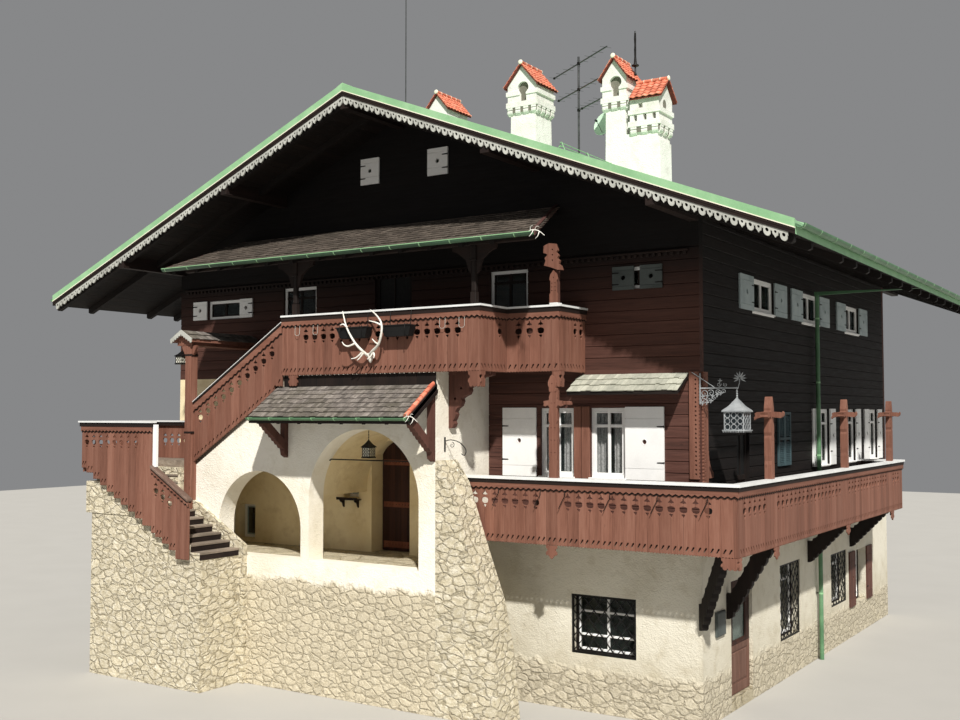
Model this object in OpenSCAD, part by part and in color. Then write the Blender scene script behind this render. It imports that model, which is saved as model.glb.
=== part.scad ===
// Alpine chalet: rendered basement and entrance block, log storey, boarded
// upper storey under one broad gabled roof, two carved balconies, an outside
// stair, a small porch roof and a group of white chimneys.
// Frame: +Z up, +X to the right seen from the front, +Y into the house.
// The origin is under the middle of the house, level with its lowest ground.

/* [House body] */
// Half of the outside width of the log walls
half_w = 6840; // [6800:5:6880]
// Thickness of the rendered masonry walls
stone_t = 450; // [430:10:450]
// Thickness of the squared log walls
log_t = 180; // [160:5:180]
// Height of one course of squared logs
course = 215; // [200:1:260]
// Depth of the groove between two courses
groove = 16; // [8:1:24]

/* [Roof] */
// Height of the ridge
ridge_z = 12375; // [12360:5:12400]
// Rise of the left roof slope for each unit of run
slope = 0.412; // [0.410:0.001:0.414]
// Rise of the right roof slope for each unit of run
slope_r = 0.394; // [0.392:0.001:0.396]
// Vertical thickness of the roof
roof_t = 220; // [200:5:240]
// Depth of the boards along the verges
verge_h = 410; // [380:5:440]

/* [Balconies and stair] */
// Thickness of the balcony boards
bt = 56; // [40:2:56]
// Height of the upper balcony's boards
up_h = 1180; // [1100:10:1200]
// Height of the lower balcony's boards
low_h = 1180; // [1100:10:1200]
// Back end of the lower balcony along the side
low_end = 4700; // [4000:50:5000]

/* [Doors] */
// Height of the basement door's opening
base_door_top = 2470; // [2350:10:2500]
// Thickness of both outer doors
door_t = 60; // [50:2:70]

/* [Hidden] */

masonry = "#ece3cd"; timber = "#7a4232"; dark = "#33211c"; green = "#7fa784";
clay = "#c0472c"; shingle = "#77706b"; rubble = "#d3c6a4"; pale = "#e6e6e2";
tread = "#5d5248";

front_y = -6320; back_y = 7580;
z_base = 250; z_stone = 3300; z_porch = 2680; z_ground = 3550;
z_deck = 6530; z_upper = 6780;
eave_x = 9225; verge_front = -8255; verge_back = 9500;

// Underside and top of the roof at a distance x from the ridge, where the
// left slope is a little steeper than the right
function top(x) = ridge_z - (x < 0 ? slope : slope_r)*abs(x);
function under(x) = top(x) - roof_t;

module blk(a, b) translate(a) cube(b - a);
// A flat outline in X and Z, given its depth from y0 to y1
module xz(y0, y1, pts) translate([0, y1, 0]) rotate([90, 0, 0])
  linear_extrude(y1 - y0) polygon(pts);
// A flat outline in Y and Z, given its width from x0 to x1
module yz(x0, x1, pts) translate([x0, 0, 0]) rotate([90, 0, 90])
  linear_extrude(x1 - x0) polygon(pts);
// A flat outline in X and Y, given its height from z0 to z1
module xy(z0, z1, pts) translate([0, 0, z0]) linear_extrude(z1 - z0)
  polygon(pts);

// Notched outline of stacked squared logs: s is the outer face, t the inner
function log_face(s, t, z0, z1) = let(n = max(1, floor((z1 - z0)/course)),
  h = (z1 - z0)/n, d = s < t ? groove : -groove)
  concat([[t, z0], [s, z0]],
    [for (i = [1:n - 1], k = [-1:1]) [s + (k == 0 ? d : 0), z0 + i*h + k*14]],
    [[s, z1], [t, z1]]);

// ---- basement -------------------------------------------------------
// window openings: from, to, sill, head
bw = [4162, 5532, 1084, 2214];
sd0 = -4863; sd1 = -3679;
side_base = [[-1928, -526, 818, 2441], [1930, 3320, 985, 2268],
  [4060, 5190, 780, 2150]];
back_base = [[-4700, -3700, 1100, 2200], [-500, 500, 1100, 2200],
  [3700, 4700, 1100, 2200]];
blk_x1 = 2270;
module base_wall_front() color(masonry) difference() {
  blk([blk_x1, front_y, 0], [half_w, front_y + stone_t, z_stone]);
  blk([bw[0], front_y - 1, bw[2]], [bw[1], front_y + stone_t + 1, bw[3]]);
}
module base_wall_side_front() color(masonry)
  blk([half_w - stone_t, front_y + stone_t, 0], [half_w, sd0, z_stone]);
module base_wall_side_head() color(masonry)
  blk([half_w - stone_t, sd0, base_door_top], [half_w, sd1, z_stone]);
module base_wall_side_back() color(masonry) difference() {
  blk([half_w - stone_t, sd1, 0], [half_w, back_y - stone_t, z_stone]);
  for (w = side_base) blk([half_w - stone_t - 1, w[0], w[2]],
    [half_w + 1, w[1], w[3]]);
}
module base_wall_left() color(masonry) difference() {
  blk([-half_w, front_y + stone_t, 0],
    [-half_w + stone_t, back_y - stone_t, z_stone]);
  for (y = [-2400, 1200, 4800]) blk([-half_w - 1, y, 1100],
    [-half_w + stone_t + 1, y + 1000, 2200]);
}
module base_wall_back() color(masonry) difference() {
  blk([-half_w, back_y - stone_t, 0], [half_w, back_y, z_stone]);
  for (w = back_base) blk([w[0], back_y - stone_t - 1, w[2]],
    [w[1], back_y + 1, w[3]]);
}

// ---- entrance block -------------------------------------------------
blk_x0 = -5350; blk_y = -8210; arc_t = 450;
dx0 = -770; dx1 = 265; door_spring = 4793; door_crown = 5106;
door_w = dx1 - dx0; door_rise = door_crown - door_spring;
door_r = (door_w*door_w/4 + door_rise*door_rise)/(2*door_rise);
niche = [-1544, -1127, 3838, 4330];
low_win = [-4770, -4243, 2760, 3555];
module entrance_wall_left() color(masonry) difference() {
  blk([-half_w, front_y, 0], [dx0, front_y + stone_t, z_deck]);
  for (w = [niche, low_win]) blk([w[0], front_y - 1, w[2]],
    [w[1], front_y + stone_t + 1, w[3]]);
}
module entrance_wall_right() color(masonry)
  blk([dx1, front_y, 0], [blk_x1, front_y + stone_t, z_deck]);
// Segmental head of the doorway, made smaller by e all round
module door_head(y0, y1, e = 0) intersection() {
  blk([dx0 + e, y0, door_spring], [dx1 - e, y1, door_crown]);
  translate([(dx0 + dx1)/2, y0, door_crown - door_r])
    rotate([-90, 0, 0]) cylinder(r = door_r - e, h = y1 - y0, $fn = 96);
}
module entrance_wall_head() color(masonry) difference() {
  blk([dx0, front_y, door_spring], [dx1, front_y + stone_t, z_deck]);
  door_head(front_y - 1, front_y + stone_t + 1);
}
module entrance_plinth() color(masonry)
  blk([dx0, front_y, 0], [dx1, front_y + stone_t, z_porch - 200]);
module arch_cut(y0, y1, c, r, spring, foot) translate([c, y0, 0]) union() {
  blk([-r, 0, foot], [r, y1 - y0, spring]);
  difference() {
    translate([0, 0, spring]) rotate([-90, 0, 0])
      cylinder(r = r, h = y1 - y0, $fn = 64);
    blk([-r - 10, -10, spring - r - 10], [r + 10, y1 - y0 + 10, foot]);
  }
}
// The front wall carries the upper flight on its left and the upper
// balcony on its right, over one arch under the stair and one at the porch.
arch_c = 490; arch_r = 1390; arch_z = 3990;
arch2_c = -2300; arch2_r = 1180; arch2_z = 3300;
fl_x0 = -4500; fl_g = 260; fl_r = (z_upper - 4650)/13; fl_x1 = -1380;
module porch_front_wall() color(masonry) difference() {
  xz(blk_y, blk_y + arc_t, [[blk_x0, 0], [blk_x1, 0], [blk_x1, z_deck],
    [fl_x1, z_deck], [fl_x1, 6401], [-4300, 4500], [blk_x0, 4500]]);
  arch_cut(blk_y - 1, blk_y + arc_t + 1, arch_c, arch_r, arch_z, z_porch);
  arch_cut(blk_y - 1, blk_y + arc_t + 1, arch2_c, arch2_r, arch2_z,
    z_porch);
}
module porch_side_walls() color(masonry) {
  blk([blk_x1 - 390, blk_y + arc_t, 0], [blk_x1, front_y, z_deck]);
  blk([blk_x0, blk_y + arc_t, 0], [blk_x0 + 450, front_y, 4500]);
}
// Vaulted ceiling over the porch and the room beside it
module porch_vault() color(masonry) difference() {
  blk([blk_x0 + 450, blk_y + arc_t, 3990], [blk_x1 - 390, front_y, 5600]);
  arch_cut(blk_y + arc_t - 1, front_y + 1, arch_c, arch_r, arch_z, 3900);
  blk([blk_x0, blk_y, 3900], [-1010, front_y + 1, 4480]);
  translate([-1010, blk_y, 3900]) cube([110, 2000, 90.5]);
  xz(blk_y, front_y + 1, [[blk_x0, 4499], [-4300, 4499], [-2590, 5612.2],
    [-2590, 6000], [blk_x0, 6000]]);
}
module entrance_floor() color(rubble) {
  blk([blk_x0 + 450, blk_y + arc_t, z_porch - 200],
    [blk_x1 - 390, front_y, z_porch]);
  xy(z_porch - 200, z_porch, [[dx0, front_y], [dx1, front_y],
    [dx1, front_y + stone_t], [blk_x1 - 390, front_y + stone_t],
    [blk_x1 - 390, -4000], [-1400, -4000], [-1400, front_y + stone_t],
    [dx0, front_y + stone_t]]);
}
module corner_buttress() color(rubble) xz(blk_y, -7480,
  [[blk_x1, 0], [3700, 0], [3560, 1300], [3380, 2156], [2960, 3260],
   [2560, 4385], [blk_x1, 4800]]);

// ---- floors ---------------------------------------------------------
iw = half_w - stone_t;             // inner face of the masonry
il = half_w - log_t;               // inner face of the logs
module basement_floor() color(rubble) xy(0, z_base,
  [[-iw, front_y + stone_t], [iw, front_y + stone_t], [iw, sd0],
   [half_w, sd0], [half_w, sd1], [iw, sd1], [iw, back_y - stone_t],
   [-iw, back_y - stone_t]]);
module ground_floor() color(timber) xy(z_stone, z_ground,
  [[-il, front_y + stone_t], [-1400, front_y + stone_t], [-1400, -4000],
   [blk_x1 - 390, -4000], [blk_x1 - 390, front_y + stone_t],
   [blk_x1, front_y + stone_t], [blk_x1, front_y + log_t],
   [il, front_y + log_t], [il, back_y - log_t], [-il, back_y - log_t]]);
module upper_floor() color(timber)
  blk([-il, front_y + log_t, z_deck], [il, back_y - log_t, z_upper]);
module attic_floor() color(timber)
  blk([-il, front_y + log_t, 9000], [il, back_y - log_t, 9130]);

// ---- log walls ------------------------------------------------------
wf = [[3490, 4244, 4465, 5800], [4602, 5331, 4465, 5800]];
gside = [[-1990, -1165, 4570, 5720], [1000, 1950, 4465, 5800],
  [3400, 4350, 4465, 5800], [5700, 6650, 4465, 5800]];
gdoor = [-4447, -3736, z_ground, 5374];
uside = [[-3450, -2110, 7800, 8480], [-140, 1200, 7800, 8480],
  [3500, 4840, 7800, 8480]];
module log_wall_front() color(timber) difference() {
  yz(blk_x1, half_w, log_face(front_y, front_y + log_t, z_stone, z_deck));
  for (w = wf) blk([w[0], front_y - 50, w[2]],
    [w[1], front_y + log_t + 1, w[3]]);
}
// s is 1 on the right and -1 on the left, drawn as if on the right
module side_logs(s) difference() {
  face = log_face(half_w, il, z_stone, under(s*half_w));
  xz(front_y + log_t, back_y - log_t, concat(
    [for (i = [0:len(face) - 2]) face[i]], [[il, under(s*il)]]));
  for (w = concat(gside, uside)) blk([il - 1, w[0], w[2]],
    [half_w + 50, w[1], w[3]]);
}
module log_wall_right() color(timber) difference() {
  side_logs(1);
  blk([il - 1, gdoor[0], gdoor[2]], [half_w + 50, gdoor[1], gdoor[3]]);
}
module log_wall_left() color(timber) difference() {
  mirror([1, 0, 0]) side_logs(-1);
  blk([-half_w - 50, front_y, z_stone - 1],
    [-il + 50, front_y + stone_t, z_deck]);
}
back_win = [for (x = [-4650, -1750, 850, 3750],
  z = [[4465, 5800], [7600, 8500]]) [x, x + 900, z[0], z[1]]];
module log_wall_back() color(timber) difference() {
  union() {
    translate([0, back_y, 0]) rotate([0, 0, 180])
      yz(-half_w, half_w, log_face(0, log_t, z_stone, 9000));
    xz(back_y - log_t, back_y, [[-half_w, 9000], [half_w, 9000],
      [half_w, under(half_w)], [0, under(0)], [-half_w, under(-half_w)]]);
  }
  for (w = back_win) blk([w[0], back_y - log_t - 1, w[2]],
    [w[1], back_y + 50, w[3]]);
}
// Upper front windows and the attic hatches behind their shutters
uf = [[-5888, -4796, 7981, 8430], [5120, 6100, 8060, 8480],
  [-3400, -2400, 7700, 8600], [2300, 3200, 7700, 8600]];
ubd = [[-700, 300, z_upper, 8750]];
at = [[-1060, -610, 10790, 11310], [765, 1227, 10790, 11310]];
module gable_wall_front() color(dark) difference() {
  union() {
    yz(-half_w, half_w, log_face(front_y, front_y + log_t, z_deck, 9000));
    xz(front_y, front_y + log_t, [[-half_w, 9000], [half_w, 9000],
      [half_w, under(half_w)], [0, under(0)], [-half_w, under(-half_w)]]);
  }
  for (w = concat(uf, ubd, at)) blk([w[0], front_y - 50, w[2]],
    [w[1], front_y + log_t + 1, w[3]]);
}
// Boards that cover the log ends and the gap between the front windows
module corner_boards() color(timber) {
  blk([6640, front_y - 40, 4500], [half_w, front_y, 6460]);
  blk([half_w, front_y + 40, z_ground], [half_w + 40, front_y + 260, 6460]);
  blk([4250, front_y - 40, 4440], [4590, front_y, 5830]);
}

// ---- roof -----------------------------------------------------------
dp_y = 700;                        // downpipe on the right side
module roof_half(x) xz(verge_front, verge_back,
  [[0, ridge_z], [x, top(x)], [x, under(x)], [0, under(0)]]);
module roof_right() color(green) roof_half(eave_x);
module roof_left() color(green) roof_half(-eave_x);
module purlin(x, y0, y1, h) xz(y0, y1, [[x - 90, under(x) - h],
  [x + 90, under(x) - h], [x + 90, under(x + 90) - 1],
  [x, under(x) - 1], [x - 90, under(x - 90) - 1]]);
module roof_purlins() color(dark) for (x = [-6750, -3400, 0, 3400, 6750]) {
  purlin(x, verge_front, front_y, 260);
  purlin(x, back_y, verge_back, 260);
}
module verge(y0, y1) xz(y0, y1,
  [[0, ridge_z + 25], [eave_x, top(eave_x) + 25],
   [eave_x, top(eave_x) - verge_h + 60], [eave_x - 90, top(eave_x - 90)
   - verge_h], [0, ridge_z - verge_h], [-eave_x + 90, top(-eave_x + 90)
   - verge_h], [-eave_x, top(-eave_x) - verge_h + 60],
   [-eave_x, top(-eave_x) + 25]]);
module verge_boards() color(pale) {
  verge(verge_front - 60, verge_front);
  verge(verge_back, verge_back + 60);
}

// ---- chimneys -------------------------------------------------------
module below_roof() xz(verge_front, verge_back, [[0, ridge_z],
  [eave_x, top(eave_x)], [eave_x, 0], [-eave_x, 0],
  [-eave_x, top(-eave_x)]]);
// c: x0 x1 y0 y1 of the head, z of corbels, of the eaves and of the ridge,
// depth of the keyhole's centre below the eaves
cs = [[-2830, -2130, -1440, -420, 13000, 13840, 14210, 300],
  [175, 1075, -2240, -1340, 13110, 13790, 14270, 77],
  [2790, 3490, -2240, -1490, 12830, 13570, 13990, 138],
  [3495, 4300, -2240, -1440, 12170, 12990, 13370, 0]];
// Shaft that narrows upwards, corbelled head with two bands, small gable
module stack(c, axis_y) {
  m = (c[0] + c[1])/2; n = (c[2] + c[3])/2;
  hw = (c[1] - c[0])/2; hd = (c[3] - c[2])/2;
  xz(c[2] + 60, c[3] - 60, [[m - hw + 60, 8000], [m + hw + 20, 8000],
    [m + hw - 90, c[4]], [m - hw + 110, c[4]]]);
  difference() {
    union() {
      blk([m - hw + 40, c[2] + 20, c[4]], [m + hw - 40, c[3] - 20, c[5]]);
      blk([m - hw, c[2], c[4] + 140], [m + hw, c[3], c[4] + 270]);
      blk([m - hw, c[2], c[4] + 430], [m + hw, c[3], c[4] + 540]);
      if (axis_y) xz(c[2] + 20, c[3] - 20, [[m - hw + 40, c[5] - 1],
        [m + hw - 40, c[5] - 1], [m, c[6]]]);
      else yz(m - hw + 40, m + hw - 40, [[c[2] + 20, c[5] - 1],
        [c[3] - 20, c[5] - 1], [n, c[6]]]);
    }
    if (axis_y) translate([m + 30, c[2] - 9, c[5] - c[7]])
      rotate([-90, 0, 0]) cylinder(r = 155, h = c[3] - c[2] + 18, $fn = 32);
    if (axis_y) blk([m - 60, c[2] - 9, c[4] + 272],
      [m + 120, c[3] + 9, c[5] - c[7]]);
    if (!axis_y) for (k = [-225, 15, 245]) blk([m + k - 42, c[2] - 9,
      c[4] + 275], [m + k + 42, c[3] + 9, c[4] + 425]);
    if (!axis_y) blk([m - 150, c[2] - 9, c[4] + 570],
      [m - 40, c[2] + 150, c[4] + 690]);
    if (!axis_y) translate([m + hw - 190, n - 60, c[4] + 641]) scale([1, .8, 1])
      rotate([0, 90, 0]) cylinder(r = 78, h = 200, $fn = 24);
  }
}
module chimney_stacks() color(masonry) difference() {
  union() {
    stack(cs[0], true);
    stack(cs[1], true);
    stack(cs[2], true);
    stack(cs[3], false);
    // the two right-hand stacks stand on one broad base
    xz(-2180, -1550, [[2840, 8000], [4320, 8000], [4270, 11950],
      [2890, 11950]]);
  }
  below_roof();
}
// Gabled tile cap, t thick, over a chimney head
module cap(c, axis_y) {
  m = (c[0] + c[1])/2; n = (c[2] + c[3])/2; t = 75;
  r = (axis_y ? c[1] - c[0] : c[3] - c[2])/2 - (axis_y ? 40 : 20);
  q = (c[6] - c[5] + 1)/r; o = r + 65;
  pts = [[-r, c[5]], [-o, c[5] - q*65], [-o, c[5] - q*65 + t],
    [0, c[6] + t + 1], [o, c[5] - q*65 + t], [o, c[5] - q*65],
    [r, c[5]], [0, c[6] + 1]];
  if (axis_y) xz(c[2] - 60, c[3] + 60, [for (p = pts) [m + p[0], p[1]]]);
  else yz(c[0] + 46, c[1] + 60, [for (p = pts) [n + p[0], p[1]]]);
}
module chimney_caps() color(clay) {
  cap(cs[0], true);
  cap(cs[1], true);
  cap(cs[2], true);
  cap(cs[3], false);
}

// ---- upper balcony --------------------------------------------------
ub_y = -8300; ub_x0 = -1587; ub_xa = 3330; ub_xb = 4490; ub_yb = -7360;
ub_z0 = 6480; ub_z1 = ub_z0 + up_h;
module upper_balcony_deck() color(timber) xy(z_deck, z_upper,
  [[fl_x1, front_y], [fl_x1, ub_y + bt], [ub_xa - bt, ub_y + bt],
   [ub_xa - bt, ub_yb + bt], [ub_xb - bt, ub_yb + bt],
   [ub_xb - bt, front_y]]);
module upper_balcony_parapet() color(timber) {
  xy(ub_z0, ub_z1, [[ub_x0, ub_y], [ub_xa, ub_y], [ub_xa, ub_yb],
    [ub_xb, ub_yb], [ub_xb, front_y], [ub_xb - bt, front_y],
    [ub_xb - bt, ub_yb + bt], [ub_xa - bt, ub_yb + bt],
    [ub_xa - bt, ub_y + bt], [ub_x0, ub_y + bt]]);
  xy(ub_z1, ub_z1 + 70, [[ub_x0, ub_y - 50], [ub_xa + 50, ub_y - 50],
    [ub_xa + 50, ub_yb - 50], [ub_xb + 50, ub_yb - 50],
    [ub_xb + 50, front_y], [ub_xb - 110, front_y],
    [ub_xb - 110, ub_yb + 110], [ub_xa - 110, ub_yb + 110],
    [ub_xa - 110, ub_y + 110], [ub_x0, ub_y + 110]]);
  // side of the deck above the gap behind the stair
  blk([fl_x1 - bt, -7240, z_deck], [fl_x1, front_y, ub_z1]);
}

// ---- lower balcony --------------------------------------------------
lb_y = -7400; lb_x = 7920; lb_z0 = 3250; lb_z1 = lb_z0 + low_h;
module lower_balcony_deck() color(timber) difference() {
  xy(z_ground - 150, z_ground, [[blk_x1, front_y], [blk_x1, lb_y + bt],
    [lb_x - bt, lb_y + bt], [lb_x - bt, low_end - bt],
    [half_w, low_end - bt], [half_w, front_y]]);
  translate([half_w + 110, dp_y, 3300]) cylinder(r = 70, h = 400, $fn = 24);
}
module lower_balcony_parapet() color(timber) {
  xy(lb_z0, lb_z1, [[blk_x1, lb_y], [lb_x, lb_y], [lb_x, low_end],
    [half_w, low_end], [half_w, low_end - bt], [lb_x - bt, low_end - bt],
    [lb_x - bt, lb_y + bt], [blk_x1, lb_y + bt]]);
  xy(lb_z1, lb_z1 + 70, [[blk_x1, lb_y - 50], [lb_x + 50, lb_y - 50],
    [lb_x + 50, low_end + 50], [half_w + 50, low_end + 50],
    [half_w + 50, low_end - 110], [lb_x - 110, low_end - 110],
    [lb_x - 110, lb_y + 110], [blk_x1, lb_y + 110]]);
}

// ---- posts and brackets ---------------------------------------------
side_posts = [-5509, -450, 3700];
module post(x, y, z0, z1, w = 140) blk([x - w/2, y - w/2, z0],
  [x + w/2, y + w/2, z1]);
function canopy_under(y) = 8800 + 0.369*(y + 8760);
module balcony_posts() color(timber) {
  ur = ub_z1 + 70; lr = lb_z1 + 70;
  // drops under the upper balcony, then the posts on its rail
  blk([-1366, -8340, 6255], [-1090, blk_y, ub_z0]);
  blk([ub_xa - 190, -8340, 6187], [ub_xa + 40, -8150, ub_z0]);
  blk([ub_xb - 130, -7400, 6187], [ub_xb + 60, -7220, ub_z0]);
  post(-1240, -8270, ur, 8830, 120);
  post(3200, -8270, ur, 8830, 120);
  post(4400, -7330, ur, 8376, 170);
  yz(-4500, 4500, [[-8330, 8830], [-8210, 8830],
    [-8210, canopy_under(-8210)], [-8330, canopy_under(-8330)]]);
  // carved saddle on the right-hand post
  xz(-7430, -7245, [[4195, 8836], [4319, 8884], [4467, 8863], [4599, 8363],
    [4485, 8375], [4207, 8470], [4282, 8666], [4195, 8706]]);
  // lower balcony: carved posts that stand on the rail, and drops
  blk([4250, lb_y - 30, 3005], [4400, lb_y + bt, lb_z0]);
  blk([lb_x - 220, lb_y - 30, 3045], [lb_x + 30, lb_y + 220, lb_z0]);
  xz(lb_y, lb_y + 90, [[4300, lr], [4440, lr], [4440, 5870], [4830, 5870],
    [4830, 5950], [4440, 5950], [4440, 6250], [4370, 6433], [4300, 6250],
    [4300, 5950], [4180, 5950], [4180, 5870], [4300, 5870]]);
  for (y = side_posts) {
    blk([lb_x - bt, y - 75, 3036], [lb_x + 30, y + 75, lb_z0]);
    yz(lb_x - 90, lb_x, [[y - 70, lr], [y + 70, lr], [y + 70, 5630],
      [y + 340, 5630], [y + 340, 5710], [y + 70, 5710], [y + 70, 5900],
      [y, 6036], [y - 70, 5900], [y - 70, 5710], [y - 340, 5710],
      [y - 340, 5630], [y - 70, 5630]]);
  }
}
// Strut from the wall out to a balcony, with a hollow behind its curve
module strut(run, rise, t) translate([0, t/2, 0]) rotate([90, 0, 0])
  linear_extrude(t) polygon([[0, 0], [120, 40], [run - 60, rise - 190],
    [run, rise - 60], [run, rise], [run - 330, rise],
    [run - 350, rise - 90], [90, 480], [0, 480]]);
module balcony_brackets() color(dark) {
  zb = z_ground - 151;
  translate([half_w, -5050, 1800]) strut(lb_x - bt - half_w, zb - 1800, 130);
  for (y = [120, 3690]) translate([half_w, y, 2300])
    strut(lb_x - bt - half_w, zb - 2300, 130);
  // diagonal strut under the corner
  difference() {
    translate([half_w, front_y, 1780]) rotate([0, 0, -45])
      translate([-40, 0, 0]) strut(1235, zb - 1780, 130);
    blk([5000, front_y, 0], [half_w, 0, 5000]);
  }
  // console under the upper balcony on the side of the entrance block
  xz(-7770, -7640, [[blk_x1, 5411], [2400, 5411], [2470, 5800],
    [3050, 6380], [3270, 6420], [3270, z_deck], [blk_x1, z_deck]]);
}

// ---- small roofs ----------------------------------------------------
module canopy_roof() color(shingle) xyclip() yz(-4639, 4760,
  [[-8760, 8890], [front_y, 9790], [front_y, canopy_under(front_y)],
   [-8760, 8800]]);
// The canopy's right verge runs back on a slant
module xyclip() difference() {
  children();
  xy(8000, 10500, [[4760, -8900], [4760, -8761], [3846, front_y],
    [3846, -6200], [5200, -6200], [5200, -8900]]);
}
module porch_roof() color(shingle) {
  yz(-1746, 2313, [[-9083, 5632], [blk_y, 6247], [blk_y, 6157],
    [-9083, 5542]]);
  // timber brackets that hold the porch roof
  for (x = [-1600, blk_x1 - 120]) {
    yz(x, x + 120, [[blk_y, 4778], [-8300, 4830], [-8330, 4960],
      [-8960, 5480], [-8960, 5628], [blk_y, 6156]]);
  }
}
module window_pent_roof() color(shingle) yz(4380, 6630,
  [[-6860, 6115], [front_y, 6440], [front_y, 6370], [-6860, 6045]]);
// Newel at the foot of the upper flight, with a small gabled canopy
module stair_gate() color(shingle) {
  xz(-8480, front_y, [[-4760, 7270], [-4760, 7340], [-4430, 7533],
    [-4100, 7340], [-4100, 7270], [-4430, 7463]]);
  xz(-8380, front_y - 40, [[-4660, 7200], [-4200, 7200],
    [-4200, 7328.5], [-4430, 7463], [-4660, 7328.5]]);
  blk([-4391, -8380, 3589], [-4201, -8210, 7200]);
}

// ---- outside stair --------------------------------------------------
sx0 = -6400; sx1 = -2790; sg = 268; sr = 151.5; sy0 = -9400; sy1 = -8300;
nx = -4398; ny = -8480; s0 = 3500;
module stair_base() color(rubble) {
  union() {
    blk([-6220, -9380, 0], [nx, sy1, s0]);
    blk([-6220, sy1, 0], [blk_x0, -7400, 4500]);
    blk([blk_x0 - 1, sy1, 0], [nx, blk_y, 4500]);
    blk([nx - 1, sy1, 0], [-4201, blk_y, 3589]);
    // coping along the wall side of the straight steps
    xz(sy1, blk_y, [[-4201, 0], [-2631, 0], [-2631, 2909], [-4136, 3788],
      [-4201, 3788]]);
    xz(-9380, sy1 + 1, [[nx - 1, 0], [sx1, 0], [sx1, 2650], [nx, s0],
      [nx - 1, s0]]);
  }
}
// Straight steps, then wedge-shaped treads that turn round the newel
module lower_flight() color(tread) union() {
  xz(sy0, sy1, concat([[nx, s0], [sx1, 2650]],
    [for (i = [0:5]) each [[sx1 - i*sg, z_porch + (i + 1)*sr],
      [i == 5 ? nx : sx1 - (i + 1)*sg, z_porch + (i + 1)*sr]]]));
  for (k = [7:12]) xy(k == 7 ? s0 : z_porch + (k - 1)*sr, z_porch + k*sr,
    concat([[nx, k == 12 ? ny : sy1], [nx, sy1], [sx0, sy1]],
      k < 11 ? [[sx0, sy0]] : [[sx0, ny - (k == 11 ? 650 : 0)]],
      k == 7 ? [[nx, sy0]] :
      k < 11 ? [[nx - 920*tan(18*(k - 7)), sy0], [nx, ny]] :
      [[nx, ny]]));
}
module stair_landing() color(tread) xy(4500, 4650,
  [[sx0, sy1], [nx, sy1], [nx, blk_y], [fl_x0, blk_y], [fl_x0, -7400],
   [sx0, -7400]]);
module upper_flight() color(tread) xz(blk_y, -7300,
  concat([[fl_x1, 6401], [-4300, 4500], [fl_x0, 4500]],
    [for (i = [0:11]) each [[fl_x0 + i*fl_g, 4650 + (i + 1)*fl_r],
      [fl_x0 + (i + 1)*fl_g, 4650 + (i + 1)*fl_r]]]));
function nose(x) = 4877 + 0.629*(x + 4408);
module stair_parapets() color(timber) {
  // front boards: level over the winders, then down beside the steps
  xz(-9490, sy0, [[-6460, 4513], [-3270, 2690], [-3030, 2690],
    [-3030, 3880], [-4158, 4538], [-4158, 5460], [-6460, 5460]]);
  blk([-6510, -9560, 5460], [-4130, -9390, 5530]);
  xz(-9560, -9390, [[-4158, 4538], [-3013, 3869], [-3013, 3939],
    [-4158, 4608]]);
  // left end and back of the landing
  blk([-6460, sy0, 4400], [sx0, -7344, 5460]);
  blk([-6510, -9390, 5460], [-6350, -7300, 5530]);
  blk([sx0, -7400, 4500], [-4560, -7344, 5460]);
  blk([-6350, -7450, 5460], [-4560, -7300, 5530]);
  // both sides of the upper flight
  xz(ub_y, blk_y, [[-4201, 4627], [-1770, 6156], [-1770, 6260],
    [ub_x0, 6284], [ub_x0, nose(ub_x0) + 880], [-4201, nose(-4201) + 880]]);
  xz(ub_y - 50, blk_y + 50, [[-4201, nose(-4201) + 880],
    [ub_x0, nose(ub_x0) + 880], [ub_x0, nose(ub_x0) + 950],
    [-4201, nose(-4201) + 950]]);
  xz(-7300, -7244, [[-4440, nose(-4440) - 330], [fl_x1, nose(fl_x1) - 330],
    [fl_x1, nose(fl_x1) + 880], [-4440, nose(-4440) + 880]]);
}

// ---- gutters and downpipe -------------------------------------------
module trough(l, r) linear_extrude(l) difference() {
  circle(r = r, $fn = 48);
  circle(r = r - 8, $fn = 48);
  translate([-2*r, 0]) square([4*r, 2*r]);
}
module trough_x(x0, x1, y, z, r) translate([x0, y, z]) rotate([90, 0, 90])
  trough(x1 - x0, r);
module trough_y(y0, y1, x, z, r) translate([x, y1, z]) rotate([90, 0, 0])
  trough(y1 - y0, r);
module gutters() color(green) {
  for (s = [-1, 1]) trough_y(verge_front, verge_back, s*(eave_x + 75),
    top(s*eave_x) - 50, 75);
  trough_x(-4639, 4760, -8820, 8870, 60);
  trough_x(-1746, 2313, -9138, 5612, 55);
  dz = top(eave_x) - 271;
  translate([half_w + 110, dp_y, 0]) cylinder(r = 50, h = dz, $fn = 32);
  xz(dp_y - 40, dp_y + 40, [[half_w + 60, dz], [half_w + 160, dz],
    [eave_x + 100, dz + 32], [eave_x + 60, dz + 32], [half_w + 160, dz + 80],
    [half_w + 60, dz + 80]]);
}

// ---- windows --------------------------------------------------------
fr = 65;
module frame_x(w, y0) difference() {
  blk([w[0], y0, w[2]], [w[1], y0 + 60, w[3]]);
  blk([w[0] + fr, y0 - 1, w[2] + fr], [w[1] - fr, y0 + 61, w[3] - fr]);
}
module frame_y(w, x0) difference() {
  blk([x0, w[0], w[2]], [x0 + 60, w[1], w[3]]);
  blk([x0 - 1, w[0] + fr, w[2] + fr], [x0 + 61, w[1] - fr, w[3] - fr]);
}
module pane_x(w, y) blk([w[0] + fr, y, w[2] + fr],
  [w[1] - fr, y + 8, w[3] - fr]);
module pane_y(w, x) blk([x, w[0] + fr, w[2] + fr],
  [x + 8, w[1] - fr, w[3] - fr]);
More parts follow.
